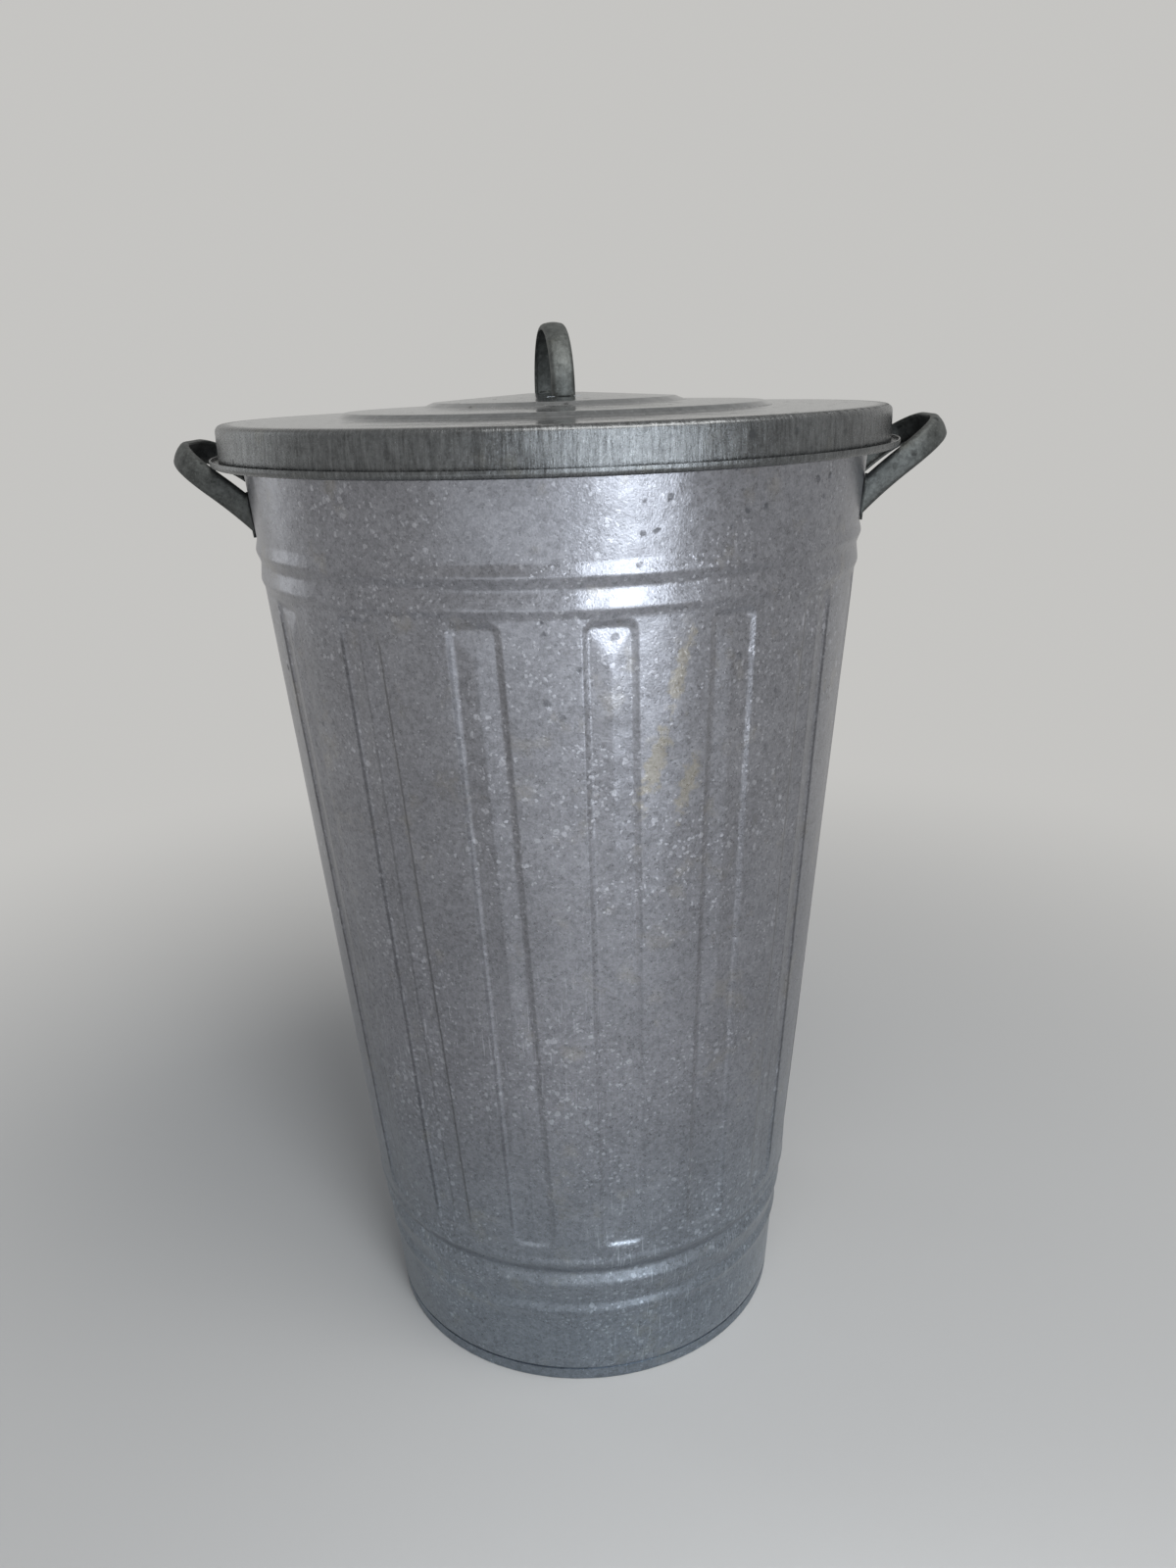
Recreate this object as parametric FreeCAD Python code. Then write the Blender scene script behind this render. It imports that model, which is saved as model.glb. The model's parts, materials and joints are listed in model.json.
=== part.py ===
import FreeCAD, Part
import math
import os

# Tapered sheet-steel bin with a lift-off lid, built from its separate pieces.
# Millimetres, +Z up. The origin is the centre of the foot ring on the floor,
# the front faces -Y and the side handles point nearly along +X and -X.

Vec = FreeCAD.Vector
ORIGIN = Vec(0, 0, 0)
UP = Vec(0, 0, 1)
ACROSS = Vec(0, 1, 0)
FULL_TURN = 360.0
QUARTER_TURN = 90.0
SMALL = 1e-6
OVERRUN = 2.0
JOIN_TOLERANCE = 1e-4
CREASE = 0.0

# Sheet, wire and general fits
SHEET = 0.9
RIM_WIRE_DIAMETER = 7.0
CURL_CLEARANCE = 0.6
FIT_CLEARANCE = 0.05
SEAT_CLEARANCE = 0.25

# Wall: radius of the plain surface at the floor, and radius gained per mm of height
WALL_RADIUS_FLOOR = 137.3
WALL_TAPER = 0.0851
RIM_HEIGHT = 605.0
CURL_END_ANGLE = -110.0

# Foot zone of the wall: set in from the plain surface, with two rolled grooves
FOOT_SET_IN = 2.2
SEAM_HEIGHT = 8.6
JOGGLE_RISE = 1.9
GROOVE_PITCH = 24.0
EDGE_PITCH = 19.0
LOW_CREST_HEIGHT = 58.5
LOW_CREST_RISE = 1.0
LOW_CREST_FLANK = 5.0
LOW_VALLEY_LEAD = 8.5
LOW_VALLEY_DEPTH = 0.4
MID_CREST_RISE = 1.9
MID_VALLEY_LEAD = 9.5
MID_VALLEY_DEPTH = 0.3
EDGE_CREST_RISE = 0.6
EDGE_FLANK = 5.0

# Two beads below the rim, each with a long upper and a short lower flank
BEAD_DROP = 70.0
BEAD_SPACING = 16.8
BEAD_RISE = 1.5
BEAD_UPPER_FLANK = 6.0
BEAD_LOWER_FLANK = 6.6
BEAD_FOOT_FLANK = 4.2
BEAD_VALLEY_DEPTH = 0.6
UPPER_SET_IN = 0.6

# Rounding of the rolled crests, valleys and flank ends
CREST_ROUND = 5.0
VALLEY_ROUND = 6.0
FLANK_ROUND = 3.5

# Lock seam of the wall, at the back
LOCK_SEAM_WIDTH = 10.0
LOCK_SEAM_SINK = 0.3
LOCK_SEAM_FOOT_GAP = 6.0
LOCK_SEAM_RIM_GAP = 20.0

# Pressed panels: recess with sloping step walls and a ridged floor, leaning a little sideways
PANEL_COUNT = 16
PANEL_PITCH = 21.9
PANEL_FRONT_ANGLE = 8.3
PANEL_LEAN = 0.8
PANEL_WIDTH = 29.0
PANEL_HEAD_MARGIN = 1.6
PANEL_FOOT_MARGIN = 6.2
PANEL_CORNER = 6.5
PANEL_DEPTH = 1.7
PANEL_STEP_RUN = 3.0
PANEL_RIDGE_RISE = 2.0
PANEL_HIP = 20.0
PANEL_FADE = 170.0
PANEL_TOOL_OVER = 2.7
PANEL_TOOL_UNDER = 1.0

# Base pan: raised floor, folded round the lower edge of the wall
FLOOR_RISE = 7.6
SEAM_CHANNEL_SPARE = 1.2
SEAM_EDGE_GAP = 0.1
SEAM_ROUND = 1.2
FLOOR_ROUND = 2.0
FLOOR_RIB_RADIUS = 96.0
FLOOR_RIB_WIDTH = 9.0
FLOOR_RIB_RISE = 2.0

# Side handles: strap with folded-in edges, bent to a bow
HANDLE_SHEET = 1.6
HANDLE_WIDTH = 14.0
HANDLE_LIP = 3.6
HANDLE_SPAN = 92.0
HANDLE_REACH = 60.0
HANDLE_CORNER = 28.0
HANDLE_TILT = 35.0
HANDLE_DROP = 47.0
HANDLE_EDGE_ROUND = 1.2
HANDLE_ROOT = 45.0
LEG_RELIEF = 5.5
FOOT_WIDTH = 17.0
FOOT_LENGTH = 26.0
FOOT_CORNER = 5.0
FOOT_DROP = 64.0
HANDLE_TURN = -2.0

# Rivets of the handle feet
RIVET_DIAMETER = 5.0
RIVET_HEAD_DIAMETER = 9.0
RIVET_HEAD_HEIGHT = 2.4
RIVET_TAIL_DIAMETER = 8.0
RIVET_TAIL_HEIGHT = 1.4
RIVET_LIFT = 9.5
RIVET_HOLE_CLEARANCE = 0.1
RIVET_SEAT_CLEARANCE = 0.12

# Lid: top with two steps and a low dome, skirt over the rim and hooked lower edge
LID_PLAY = 1.2
LID_EDGE_ROUND = 4.0
LID_SKIRT_DEPTH = 23.3
LID_HOOK_WIDTH = 5.1
LID_HOOK_HEIGHT = 4.2
LID_HOOK_INNER_ROUND = 1.2
LID_HOOK_OUTER_ROUND = 1.9
LID_OUTER_RISE = 0.9
LID_STEP_RADIUS = 129.6
LID_STEP_RUN = 4.0
LID_STEP_RISE = 2.7
LID_PLATE_RISE = 1.5
LID_DOME_RADIUS = 73.0
LID_DOME_STEP_RUN = 6.0
LID_DOME_STEP_RISE = 2.4
LID_DOME_RISE = 3.4
LID_CROWN_RADIUS = 18.0
LID_BEND_ROUND = 3.0

# Lid handle: smaller strap bow with tabs through two slots, clinched below
GRIP_SHEET = 1.4
GRIP_WIDTH = 13.6
GRIP_LIP = 3.2
GRIP_SPAN = 84.0
GRIP_HEIGHT = 41.3
GRIP_CORNER = 36.0
GRIP_EDGE_ROUND = 1.0
GRIP_TURN = 8.0
GRIP_SEAT_CLEARANCE = 0.1
TAB_WIDTH = 11.0
TAB_LENGTH = 9.0
SLOT_END_CLEARANCE = 3.4
SLOT_SIDE_CLEARANCE = 0.3


def plain_radius(height):
    """Radius of the plain wall surface between the panels at a height."""
    return WALL_RADIUS_FLOOR + WALL_TAPER * height


def upper_radius(height):
    """Radius of the wall's outer surface above the beads."""
    return plain_radius(height) - UPPER_SET_IN


def foot_radius(height):
    """Radius of the wall's outer surface inside the folded foot seam."""
    return plain_radius(height) - FOOT_SET_IN - SHEET - FIT_CLEARANCE


def rounded(points, radii):
    """Edges through the points, each inner corner rounded by its radius."""
    edges = []
    start = points[0]
    for index in range(1, len(points) - 1):
        corner = points[index]
        back = points[index - 1].sub(corner).normalize()
        ahead = points[index + 1].sub(corner).normalize()
        turn = math.pi - back.getAngle(ahead)
        radius = radii[index - 1]
        if radius < SMALL or turn < SMALL:
            edges.append(Part.makeLine(start, corner))
            start = corner
            continue
        reach = radius * math.tan(turn / 2)
        bisector = back.add(ahead).normalize()
        bulge = radius / math.cos(turn / 2) - radius
        first = corner.add(back * reach)
        last = corner.add(ahead * reach)
        if start.distanceToPoint(first) > SMALL:
            edges.append(Part.makeLine(start, first))
        edges.append(Part.Arc(first, corner.add(bisector * bulge), last).toShape())
        start = last
    if start.distanceToPoint(points[-1]) > SMALL:
        edges.append(Part.makeLine(start, points[-1]))
    return edges


def right_normal(start, end):
    """Unit normal on the right of a step in the XZ plane."""
    step = end.sub(start).normalize()
    return Vec(step.z, 0, -step.x)


def moved_right(points, distance):
    """Points of a path in the XZ plane, moved to its right by a distance."""
    normals = []
    for index in range(len(points) - 1):
        normals.append(right_normal(points[index], points[index + 1]))
    moved = [points[0].add(normals[0] * distance)]
    for index in range(1, len(points) - 1):
        before = normals[index - 1]
        after = normals[index]
        mitre = before.add(after) * (distance / (1 + before.dot(after)))
        moved.append(points[index].add(mitre))
    moved.append(points[-1].add(normals[-1] * distance))
    return moved


def sheet_ring(points, radii, thickness):
    """Solid of revolution of a sheet that lies on the right of a path."""
    inner_points = moved_right(points, thickness)
    inner_radii = []
    for index in range(1, len(points) - 1):
        before = right_normal(points[index - 1], points[index])
        ahead = points[index + 1].sub(points[index])
        radius = radii[index - 1]
        if radius < SMALL:
            inner_radii.append(0)
        elif before.dot(ahead) > 0:
            inner_radii.append(max(radius - thickness, 0))
        else:
            inner_radii.append(radius + thickness)
    edges = rounded(points, radii)
    edges.append(Part.makeLine(points[-1], inner_points[-1]))
    edges += rounded(inner_points, inner_radii)
    edges.append(Part.makeLine(points[0], inner_points[0]))
    return revolved(edges)


def revolved(edges, angle=FULL_TURN):
    """Solid of revolution about Z of the face inside some edges."""
    wire = Part.Wire(Part.__sortEdges__(edges))
    return Part.Face(wire).revolve(ORIGIN, UP, angle)


def turned(shape, angle):
    """Copy of a shape, turned about Z by an angle in degrees."""
    copy = shape.copy()
    copy.rotate(ORIGIN, UP, angle)
    return copy


def wall_stations():
    """Height, set-out from the plain surface and rounding of the wall's profile."""
    mid_crest = LOW_CREST_HEIGHT + GROOVE_PITCH
    edge_crest = mid_crest + EDGE_PITCH
    high_crest = RIM_HEIGHT - BEAD_DROP
    low_bead = high_crest - BEAD_SPACING
    foot = -FOOT_SET_IN
    joggle = foot - SHEET - FIT_CLEARANCE
    return [
        (SHEET + SEAM_EDGE_GAP, joggle, CREASE),
        (SEAM_HEIGHT + SEAM_EDGE_GAP, joggle, CREASE),
        (SEAM_HEIGHT + JOGGLE_RISE, foot, CREASE),
        (LOW_CREST_HEIGHT - LOW_CREST_FLANK, foot, FLANK_ROUND),
        (LOW_CREST_HEIGHT, foot + LOW_CREST_RISE, CREST_ROUND),
        (LOW_CREST_HEIGHT + LOW_VALLEY_LEAD, foot - LOW_VALLEY_DEPTH, VALLEY_ROUND),
        (mid_crest, foot + MID_CREST_RISE, CREST_ROUND),
        (mid_crest + MID_VALLEY_LEAD, foot - MID_VALLEY_DEPTH, VALLEY_ROUND),
        (edge_crest, EDGE_CREST_RISE, CREST_ROUND),
        (edge_crest + EDGE_FLANK, 0, FLANK_ROUND),
        (low_bead - BEAD_FOOT_FLANK, 0, FLANK_ROUND),
        (low_bead, BEAD_RISE, CREST_ROUND),
        (high_crest - BEAD_LOWER_FLANK, -BEAD_VALLEY_DEPTH, VALLEY_ROUND),
        (high_crest, BEAD_RISE, CREST_ROUND),
        (high_crest + BEAD_UPPER_FLANK, -UPPER_SET_IN, FLANK_ROUND),
        (curl_height(), -UPPER_SET_IN, CREASE),
    ]


def curl_radius():
    """Outer radius of the rim's curled section."""
    return RIM_WIRE_DIAMETER / 2 + CURL_CLEARANCE + SHEET


def curl_height():
    """Height of the rim wire's centre."""
    return RIM_HEIGHT - curl_radius()


def curl_centre():
    """Distance of the rim wire's centre from the axis."""
    return upper_radius(curl_height()) - SHEET + curl_radius()


def panel_top():
    """Height of the panels' upper edge, just below the beads."""
    return RIM_HEIGHT - BEAD_DROP - BEAD_SPACING - BEAD_FOOT_FLANK - PANEL_HEAD_MARGIN


def panel_bottom():
    """Height of the panels' lower edge, just above the grooves."""
    return LOW_CREST_HEIGHT + GROOVE_PITCH + EDGE_PITCH + EDGE_FLANK + PANEL_FOOT_MARGIN


def wall_path(shift, low=None, high=None):
    """Edges of the wall's profile moved outward, kept between two heights."""
    points = []
    radii = []
    stations = wall_stations()
    low = stations[0][0] if low is None else low
    high = stations[-1][0] if high is None else high
    first_out = stations[0][1]
    for height, out, radius in stations:
        if height <= low:
            first_out = out
        elif height < high:
            points.append(Vec(plain_radius(height) + out + shift, 0, height))
            radii.append(radius)
    last_out = stations[-1][1]
    start = Vec(plain_radius(low) + first_out + shift, 0, low)
    end = Vec(plain_radius(high) + last_out + shift, 0, high)
    points = [start] + points + [end]
    return points, rounded(points, radii)


def wall_block(shift, over):
    """Solid inside the wall's profile, run on past both ends."""
    points, edges = wall_path(shift)
    low = points[0]
    high = points[-1]
    foot = Vec(low.x - WALL_TAPER * over, 0, low.z - over)
    head = Vec(high.x + WALL_TAPER * over, 0, high.z + over)
    if over > SMALL:
        edges.append(Part.makeLine(foot, low))
        edges.append(Part.makeLine(high, head))
    edges.append(Part.makeLine(head, Vec(0, 0, head.z)))
    edges.append(Part.makeLine(Vec(0, 0, head.z), Vec(0, 0, foot.z)))
    edges.append(Part.makeLine(Vec(0, 0, foot.z), foot))
    return revolved(edges)


def panel_frame():
    """Origin and directions of a panel that faces +X: middle, along and out."""
    middle = (panel_top() + panel_bottom()) / 2
    scale = math.hypot(1, WALL_TAPER)
    along = Vec(WALL_TAPER / scale, 0, 1 / scale)
    out = Vec(1 / scale, 0, -WALL_TAPER / scale)
    return Vec(plain_radius(middle), 0, middle), along, out


def panel_tool():
    """Space pressed inward for one panel that faces +X."""
    middle, along, out = panel_frame()
    half_length = (panel_top() - panel_bottom()) / 2 * math.hypot(1, WALL_TAPER)
    half_width = PANEL_WIDTH / 2
    edge_level = -half_width * half_width / (2 * middle.x)
    floor_level = edge_level - PANEL_DEPTH
    slope = PANEL_STEP_RUN / PANEL_DEPTH

    def place(sideways, lengthways, outward):
        return middle + ACROSS * sideways + along * lengthways + out * outward

    def outline(level):
        grow = (level - edge_level) * slope
        side = half_width + grow
        end = half_length + grow
        points = [
            place(0, -end, level),
            place(side, -end, level),
            place(side, end, level),
            place(-side, end, level),
            place(-side, -end, level),
            place(0, -end, level),
        ]
        return Part.Wire(rounded(points, [PANEL_CORNER + grow] * (len(points) - 2)))

    low_level = floor_level - PANEL_TOOL_UNDER
    recess = Part.makeLoft([outline(low_level), outline(edge_level + PANEL_TOOL_OVER)], True, True)

    deep_level = low_level - PANEL_TOOL_UNDER
    left_top = place(-half_width, half_length, floor_level)
    left_foot = place(-half_width, -half_length, floor_level)
    right_top = place(half_width, half_length, floor_level)
    right_foot = place(half_width, -half_length, floor_level)
    ridge_top = place(0, half_length - PANEL_HIP, floor_level + PANEL_RIDGE_RISE)
    ridge_foot = place(0, PANEL_FADE - half_length, floor_level + PANEL_RIDGE_RISE)
    left_top_deep = place(-half_width, half_length, deep_level)
    left_foot_deep = place(-half_width, -half_length, deep_level)
    right_top_deep = place(half_width, half_length, deep_level)
    right_foot_deep = place(half_width, -half_length, deep_level)

    def polygon(*corners):
        return Part.Face(Part.makePolygon(list(corners) + [corners[0]]))

    faces = [
        polygon(left_top, left_foot, ridge_foot, ridge_top),
        polygon(right_top, right_foot, ridge_foot, ridge_top),
        polygon(left_top, right_top, ridge_top),
        polygon(left_foot, right_foot, ridge_foot),
        polygon(left_top, left_foot, left_foot_deep, left_top_deep),
        polygon(right_top, right_foot, right_foot_deep, right_top_deep),
        polygon(left_top, right_top, right_top_deep, left_top_deep),
        polygon(left_foot, right_foot, right_foot_deep, left_foot_deep),
        polygon(left_top_deep, right_top_deep, right_foot_deep, left_foot_deep),
    ]
    shell = Part.makeShell(faces)
    shell.sewShape()
    roof = Part.makeSolid(shell)
    if roof.Volume < 0:
        roof.reverse()
    tool = recess.cut(roof)
    tool.rotate(middle, out, PANEL_LEAN)
    return tool


def panel_angles():
    """Directions of the panels' centres, as turns about Z from +X."""
    angles = []
    for index in range(PANEL_COUNT):
        step = index - PANEL_COUNT // 2
        angles.append(PANEL_FRONT_ANGLE + step * PANEL_PITCH - QUARTER_TURN)
    return angles


def lock_seam():
    """Folded seam on the outside of the wall, midway between the last panels."""
    low = SEAM_HEIGHT + LOCK_SEAM_FOOT_GAP
    high = RIM_HEIGHT - LOCK_SEAM_RIM_GAP
    outer_points, outer = wall_path(SHEET, low, high)
    inner_points, inner = wall_path(-LOCK_SEAM_SINK, low, high)
    edges = outer + inner
    edges.append(Part.makeLine(outer_points[0], inner_points[0]))
    edges.append(Part.makeLine(outer_points[-1], inner_points[-1]))
    angle = math.degrees(LOCK_SEAM_WIDTH / plain_radius((low + high) / 2))
    angles = panel_angles()
    direction = (angles[0] + angles[-1] + FULL_TURN) / 2
    return turned(revolved(edges, angle), direction - angle / 2)


def rim_curl():
    """Curled edge of the wall round the rim wire."""
    outer = curl_radius()
    inner = outer - SHEET
    centre = Vec(curl_centre(), 0, curl_height())

    def on_curl(radius, angle):
        turn = math.radians(angle)
        return centre + Vec(radius * math.cos(turn), 0, radius * math.sin(turn))

    start = 2 * QUARTER_TURN
    half = (start + CURL_END_ANGLE) / 2
    edges = []
    for radius in (inner, outer):
        arc = Part.Arc(on_curl(radius, start), on_curl(radius, half), on_curl(radius, CURL_END_ANGLE))
        edges.append(arc.toShape())
    for angle in (start, CURL_END_ANGLE):
        edges.append(Part.makeLine(on_curl(inner, angle), on_curl(outer, angle)))
    return revolved(edges)


def rivet_frames():
    """Foot of each rivet on the wall's outer surface, and the outward direction."""
    height = RIM_HEIGHT - FOOT_DROP + RIVET_LIFT
    radius = upper_radius(height)
    sideways = HANDLE_SPAN / 2 - FOOT_WIDTH + FOOT_WIDTH / 2
    angle = math.asin(sideways / radius)
    frames = []
    heading = math.radians(HANDLE_TURN)
    for side in (heading, heading + math.pi):
        for turn in (side + angle, side - angle):
            place = Vec(radius * math.cos(turn), radius * math.sin(turn), height)
            out = Vec(math.cos(turn), math.sin(turn), -WALL_TAPER).normalize()
            frames.append((place, out))
    return frames


def rivet_holes():
    """Clearance holes of the rivets through the feet and the wall."""
    radius = RIVET_DIAMETER / 2 + RIVET_HOLE_CLEARANCE
    reach = HANDLE_SHEET + SHEET + 2 * OVERRUN
    holes = []
    for place, out in rivet_frames():
        start = place - out * (SHEET + OVERRUN)
        holes.append(Part.makeCylinder(radius, reach, start, out))
    return holes


def make_rivets():
    """Rivets with a domed head on the foot and a flat clinched tail inside."""
    rivets = []
    for place, out in rivet_frames():
        head_seat = HANDLE_SHEET + 2 * FIT_CLEARANCE
        tail_seat = SHEET + RIVET_SEAT_CLEARANCE
        half_head = RIVET_HEAD_DIAMETER / 2
        sphere = (half_head ** 2 + RIVET_HEAD_HEIGHT ** 2) / (2 * RIVET_HEAD_HEIGHT)
        ball = Part.makeSphere(sphere, place + out * (head_seat + RIVET_HEAD_HEIGHT - sphere))
        above = Part.makeCylinder(RIVET_HEAD_DIAMETER, 2 * RIVET_HEAD_HEIGHT, place + out * head_seat, out)
        head = ball.common(above)
        shank = Part.makeCylinder(
            RIVET_DIAMETER / 2,
            head_seat + tail_seat,
            place - out * tail_seat,
            out,
        )
        tail = Part.makeCylinder(
            RIVET_TAIL_DIAMETER / 2,
            RIVET_TAIL_HEIGHT,
            place - out * (tail_seat + RIVET_TAIL_HEIGHT),
            out,
        )
        rivets.append(head.fuse([shank, tail]).removeSplitter())
    return Part.makeCompound(rivets)


def make_body_shell():
    """Wall with beads, grooves, pressed panels, lock seam and curled rim."""
    tool = panel_tool()
    out = panel_frame()[2]
    inner_tool = tool.copy()
    inner_tool.translate(out * -SHEET)
    outer_tools = []
    inner_tools = []
    for angle in panel_angles():
        outer_tools.append(turned(tool, angle))
        inner_tools.append(turned(inner_tool, angle))
    outside = wall_block(0, 0).fuse(lock_seam()).cut(outer_tools, JOIN_TOLERANCE)
    inside = wall_block(-SHEET, OVERRUN).cut(inner_tools, JOIN_TOLERANCE)
    halves = outside.cut([inside], JOIN_TOLERANCE).Solids
    # The cut can leave the core as a second solid; the wall is the smaller one.
    wall = min(halves, key=lambda solid: solid.Volume)
    return wall.fuse(rim_curl()).cut(rivet_holes()).removeSplitter()


def make_base_pan():
    """Raised floor with a rib, folded down and up round the wall's lower edge."""
    floor = FLOOR_RISE + SHEET
    rib_in = FLOOR_RIB_RADIUS - FLOOR_RIB_WIDTH
    rib_out = FLOOR_RIB_RADIUS + FLOOR_RIB_WIDTH
    web = foot_radius(0) - SHEET - SEAM_CHANNEL_SPARE
    cuff_low = foot_radius(SHEET) + FIT_CLEARANCE
    cuff_high = foot_radius(SEAM_HEIGHT) + FIT_CLEARANCE
    points = [
        Vec(0, 0, floor),
        Vec(rib_in, 0, floor),
        Vec(FLOOR_RIB_RADIUS, 0, floor + FLOOR_RIB_RISE),
        Vec(rib_out, 0, floor),
        Vec(web, 0, floor),
        Vec(web, 0, SHEET),
        Vec(cuff_low, 0, SHEET),
        Vec(cuff_high, 0, SEAM_HEIGHT),
    ]
    fold = SEAM_ROUND - SHEET
    radii = [CREASE, FLOOR_RIB_WIDTH, CREASE, FLOOR_ROUND, fold, fold]
    return sheet_ring(points, radii, SHEET)


def make_rim_wire():
    """Round wire inside the curled rim."""
    return Part.makeTorus(curl_centre(), RIM_WIRE_DIAMETER / 2, Vec(0, 0, curl_height()), UP)


def bow_face(span, reach, corner, inset, back):
    """Flat U-shaped region inside a bow, in the XY plane and open towards -X."""
    side = span / 2 - inset
    end = reach - inset
    points = [Vec(-back, -side, 0), Vec(end, -side, 0), Vec(end, side, 0), Vec(-back, side, 0)]
    edges = rounded(points, [corner - inset, corner - inset])
    edges.append(Part.makeLine(points[-1], points[0]))
    return Part.Face(Part.Wire(edges))


def strap_bow(span, reach, corner, width, sheet, lip, edge_round, back):
    """Strap with folded-in edges, bent in the XY plane to a bow towards +X."""
    blank = bow_face(span, reach, corner, 0, back)
    blank.translate(Vec(0, 0, -width / 2))
    solid = blank.extrude(Vec(0, 0, width))
    soft = []
    for edge in solid.Edges:
        box = edge.BoundBox
        if box.ZLength < SMALL and box.XMax > SMALL - back:
            soft.append(edge)
    solid = solid.makeFillet(edge_round, soft)
    opening = bow_face(span, reach, corner, lip, back + OVERRUN)
    opening.translate(Vec(0, 0, -width))
    hollow = bow_face(span, reach, corner, sheet, back + OVERRUN)
    hollow.translate(Vec(0, 0, sheet - width / 2))
    solid = solid.cut(opening.extrude(Vec(0, 0, 2 * width)))
    return solid.cut(hollow.extrude(Vec(0, 0, width - 2 * sheet)))


def upper_cone(offset):
    """Solid inside the upper wall's surface, moved outward by an offset."""
    low = RIM_HEIGHT - 2 * FOOT_DROP
    high = RIM_HEIGHT + FOOT_DROP
    base = Vec(0, 0, low)
    return Part.makeCone(upper_radius(low) + offset, upper_radius(high) + offset, high - low, base, UP)


def handle_foot():
    """Curved foot plate on the wall, at the +Y leg of the handle on +X."""
    bottom = RIM_HEIGHT - FOOT_DROP
    outer_side = HANDLE_SPAN / 2
    inner_side = outer_side - FOOT_WIDTH
    points = [
        Vec(0, outer_side, bottom + FOOT_LENGTH / 2),
        Vec(0, outer_side, bottom + FOOT_LENGTH),
        Vec(0, inner_side, bottom + FOOT_LENGTH),
        Vec(0, inner_side, bottom),
        Vec(0, outer_side, bottom),
        Vec(0, outer_side, bottom + FOOT_LENGTH / 2),
    ]
    wire = Part.Wire(rounded(points, [FOOT_CORNER] * (len(points) - 2)))
    column = Part.Face(wire).extrude(Vec(2 * WALL_RADIUS_FLOOR, 0, 0))
    plate = upper_cone(HANDLE_SHEET + FIT_CLEARANCE).cut(upper_cone(FIT_CLEARANCE))
    return plate.common(column)


def leg_relief(height):
    """Space that cuts the upper corner of a leg back from the wall, round a height."""
    rise = HANDLE_WIDTH / 2 / math.cos(math.radians(HANDLE_TILT))
    low = height - rise
    high = height + rise
    foot = upper_radius(low) + FIT_CLEARANCE
    head = upper_radius(high) + FIT_CLEARANCE + LEG_RELIEF
    return Part.makeCone(foot, head, high - low, Vec(0, 0, low), UP)


def make_handle_right():
    """Side handle near +X: tilted bow with two feet on the wall."""
    height = RIM_HEIGHT - HANDLE_DROP
    root = math.sqrt(upper_radius(height) ** 2 - (HANDLE_SPAN / 2) ** 2)
    bow = strap_bow(
        HANDLE_SPAN,
        HANDLE_REACH,
        HANDLE_CORNER,
        HANDLE_WIDTH,
        HANDLE_SHEET,
        HANDLE_LIP,
        HANDLE_EDGE_ROUND,
        HANDLE_ROOT,
    )
    bow.rotate(ORIGIN, ACROSS, -HANDLE_TILT)
    bow.translate(Vec(root, 0, height))
    bow = bow.cut([upper_cone(FIT_CLEARANCE + HANDLE_SHEET / 2), leg_relief(height)])
    near = handle_foot()
    far = near.mirror(ORIGIN, ACROSS)
    handle = turned(bow.fuse([near, far]), HANDLE_TURN)
    return handle.cut(rivet_holes()).removeSplitter()


def lid_seat_height():
    """Height of the lid's top surface above the rim's crest."""
    return RIM_HEIGHT + SEAT_CLEARANCE + SHEET


def skirt_radius():
    """Outer radius of the lid's skirt."""
    return curl_centre() + curl_radius() + LID_PLAY + SHEET


def lid_points():
    """Path along the lid's upper side, from the centre to the hook's tip."""
    skirt = skirt_radius()
    rise = LID_OUTER_RISE / (skirt - LID_STEP_RADIUS)
    edge = lid_seat_height() - rise * (skirt - curl_centre())
    step_low = edge + LID_OUTER_RISE
    step_high = step_low + LID_STEP_RISE
    plate_high = step_high + LID_PLATE_RISE
    dome_low = plate_high + LID_DOME_STEP_RISE
    crown = dome_low + LID_DOME_RISE
    hook_floor = edge - LID_SKIRT_DEPTH + SHEET
    hook_side = skirt + LID_HOOK_WIDTH - SHEET
    return [
        Vec(0, 0, crown),
        Vec(LID_CROWN_RADIUS, 0, crown),
        Vec(LID_DOME_RADIUS, 0, dome_low),
        Vec(LID_DOME_RADIUS + LID_DOME_STEP_RUN, 0, plate_high),
        Vec(LID_STEP_RADIUS - LID_STEP_RUN, 0, step_high),
        Vec(LID_STEP_RADIUS, 0, step_low),
        Vec(skirt, 0, edge),
        Vec(skirt, 0, hook_floor),
        Vec(hook_side, 0, hook_floor),
        Vec(hook_side, 0, hook_floor + LID_HOOK_HEIGHT - SHEET),
    ]


def dome_height(radius):
    """Height of the lid's upper side on the cone of its dome."""
    crown = lid_points()[1]
    brim = lid_points()[2]
    share = (radius - crown.x) / (brim.x - crown.x)
    return crown.z + (brim.z - crown.z) * share


def grip_slots():
    """Slots in the lid for the tabs of its handle."""
    depth = 2 * OVERRUN + SHEET
    half = GRIP_WIDTH / 2 + SLOT_END_CLEARANCE
    thick = GRIP_SHEET + 2 * SLOT_SIDE_CLEARANCE
    base = dome_height(GRIP_SPAN / 2) - SHEET - OVERRUN
    slots = []
    for near in (GRIP_SPAN / 2 - GRIP_SHEET - SLOT_SIDE_CLEARANCE, -GRIP_SPAN / 2 - SLOT_SIDE_CLEARANCE):
        slot = Part.makeBox(2 * half, thick, depth, Vec(-half, near, base))
        slots.append(turned(slot, GRIP_TURN))
    return slots


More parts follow.
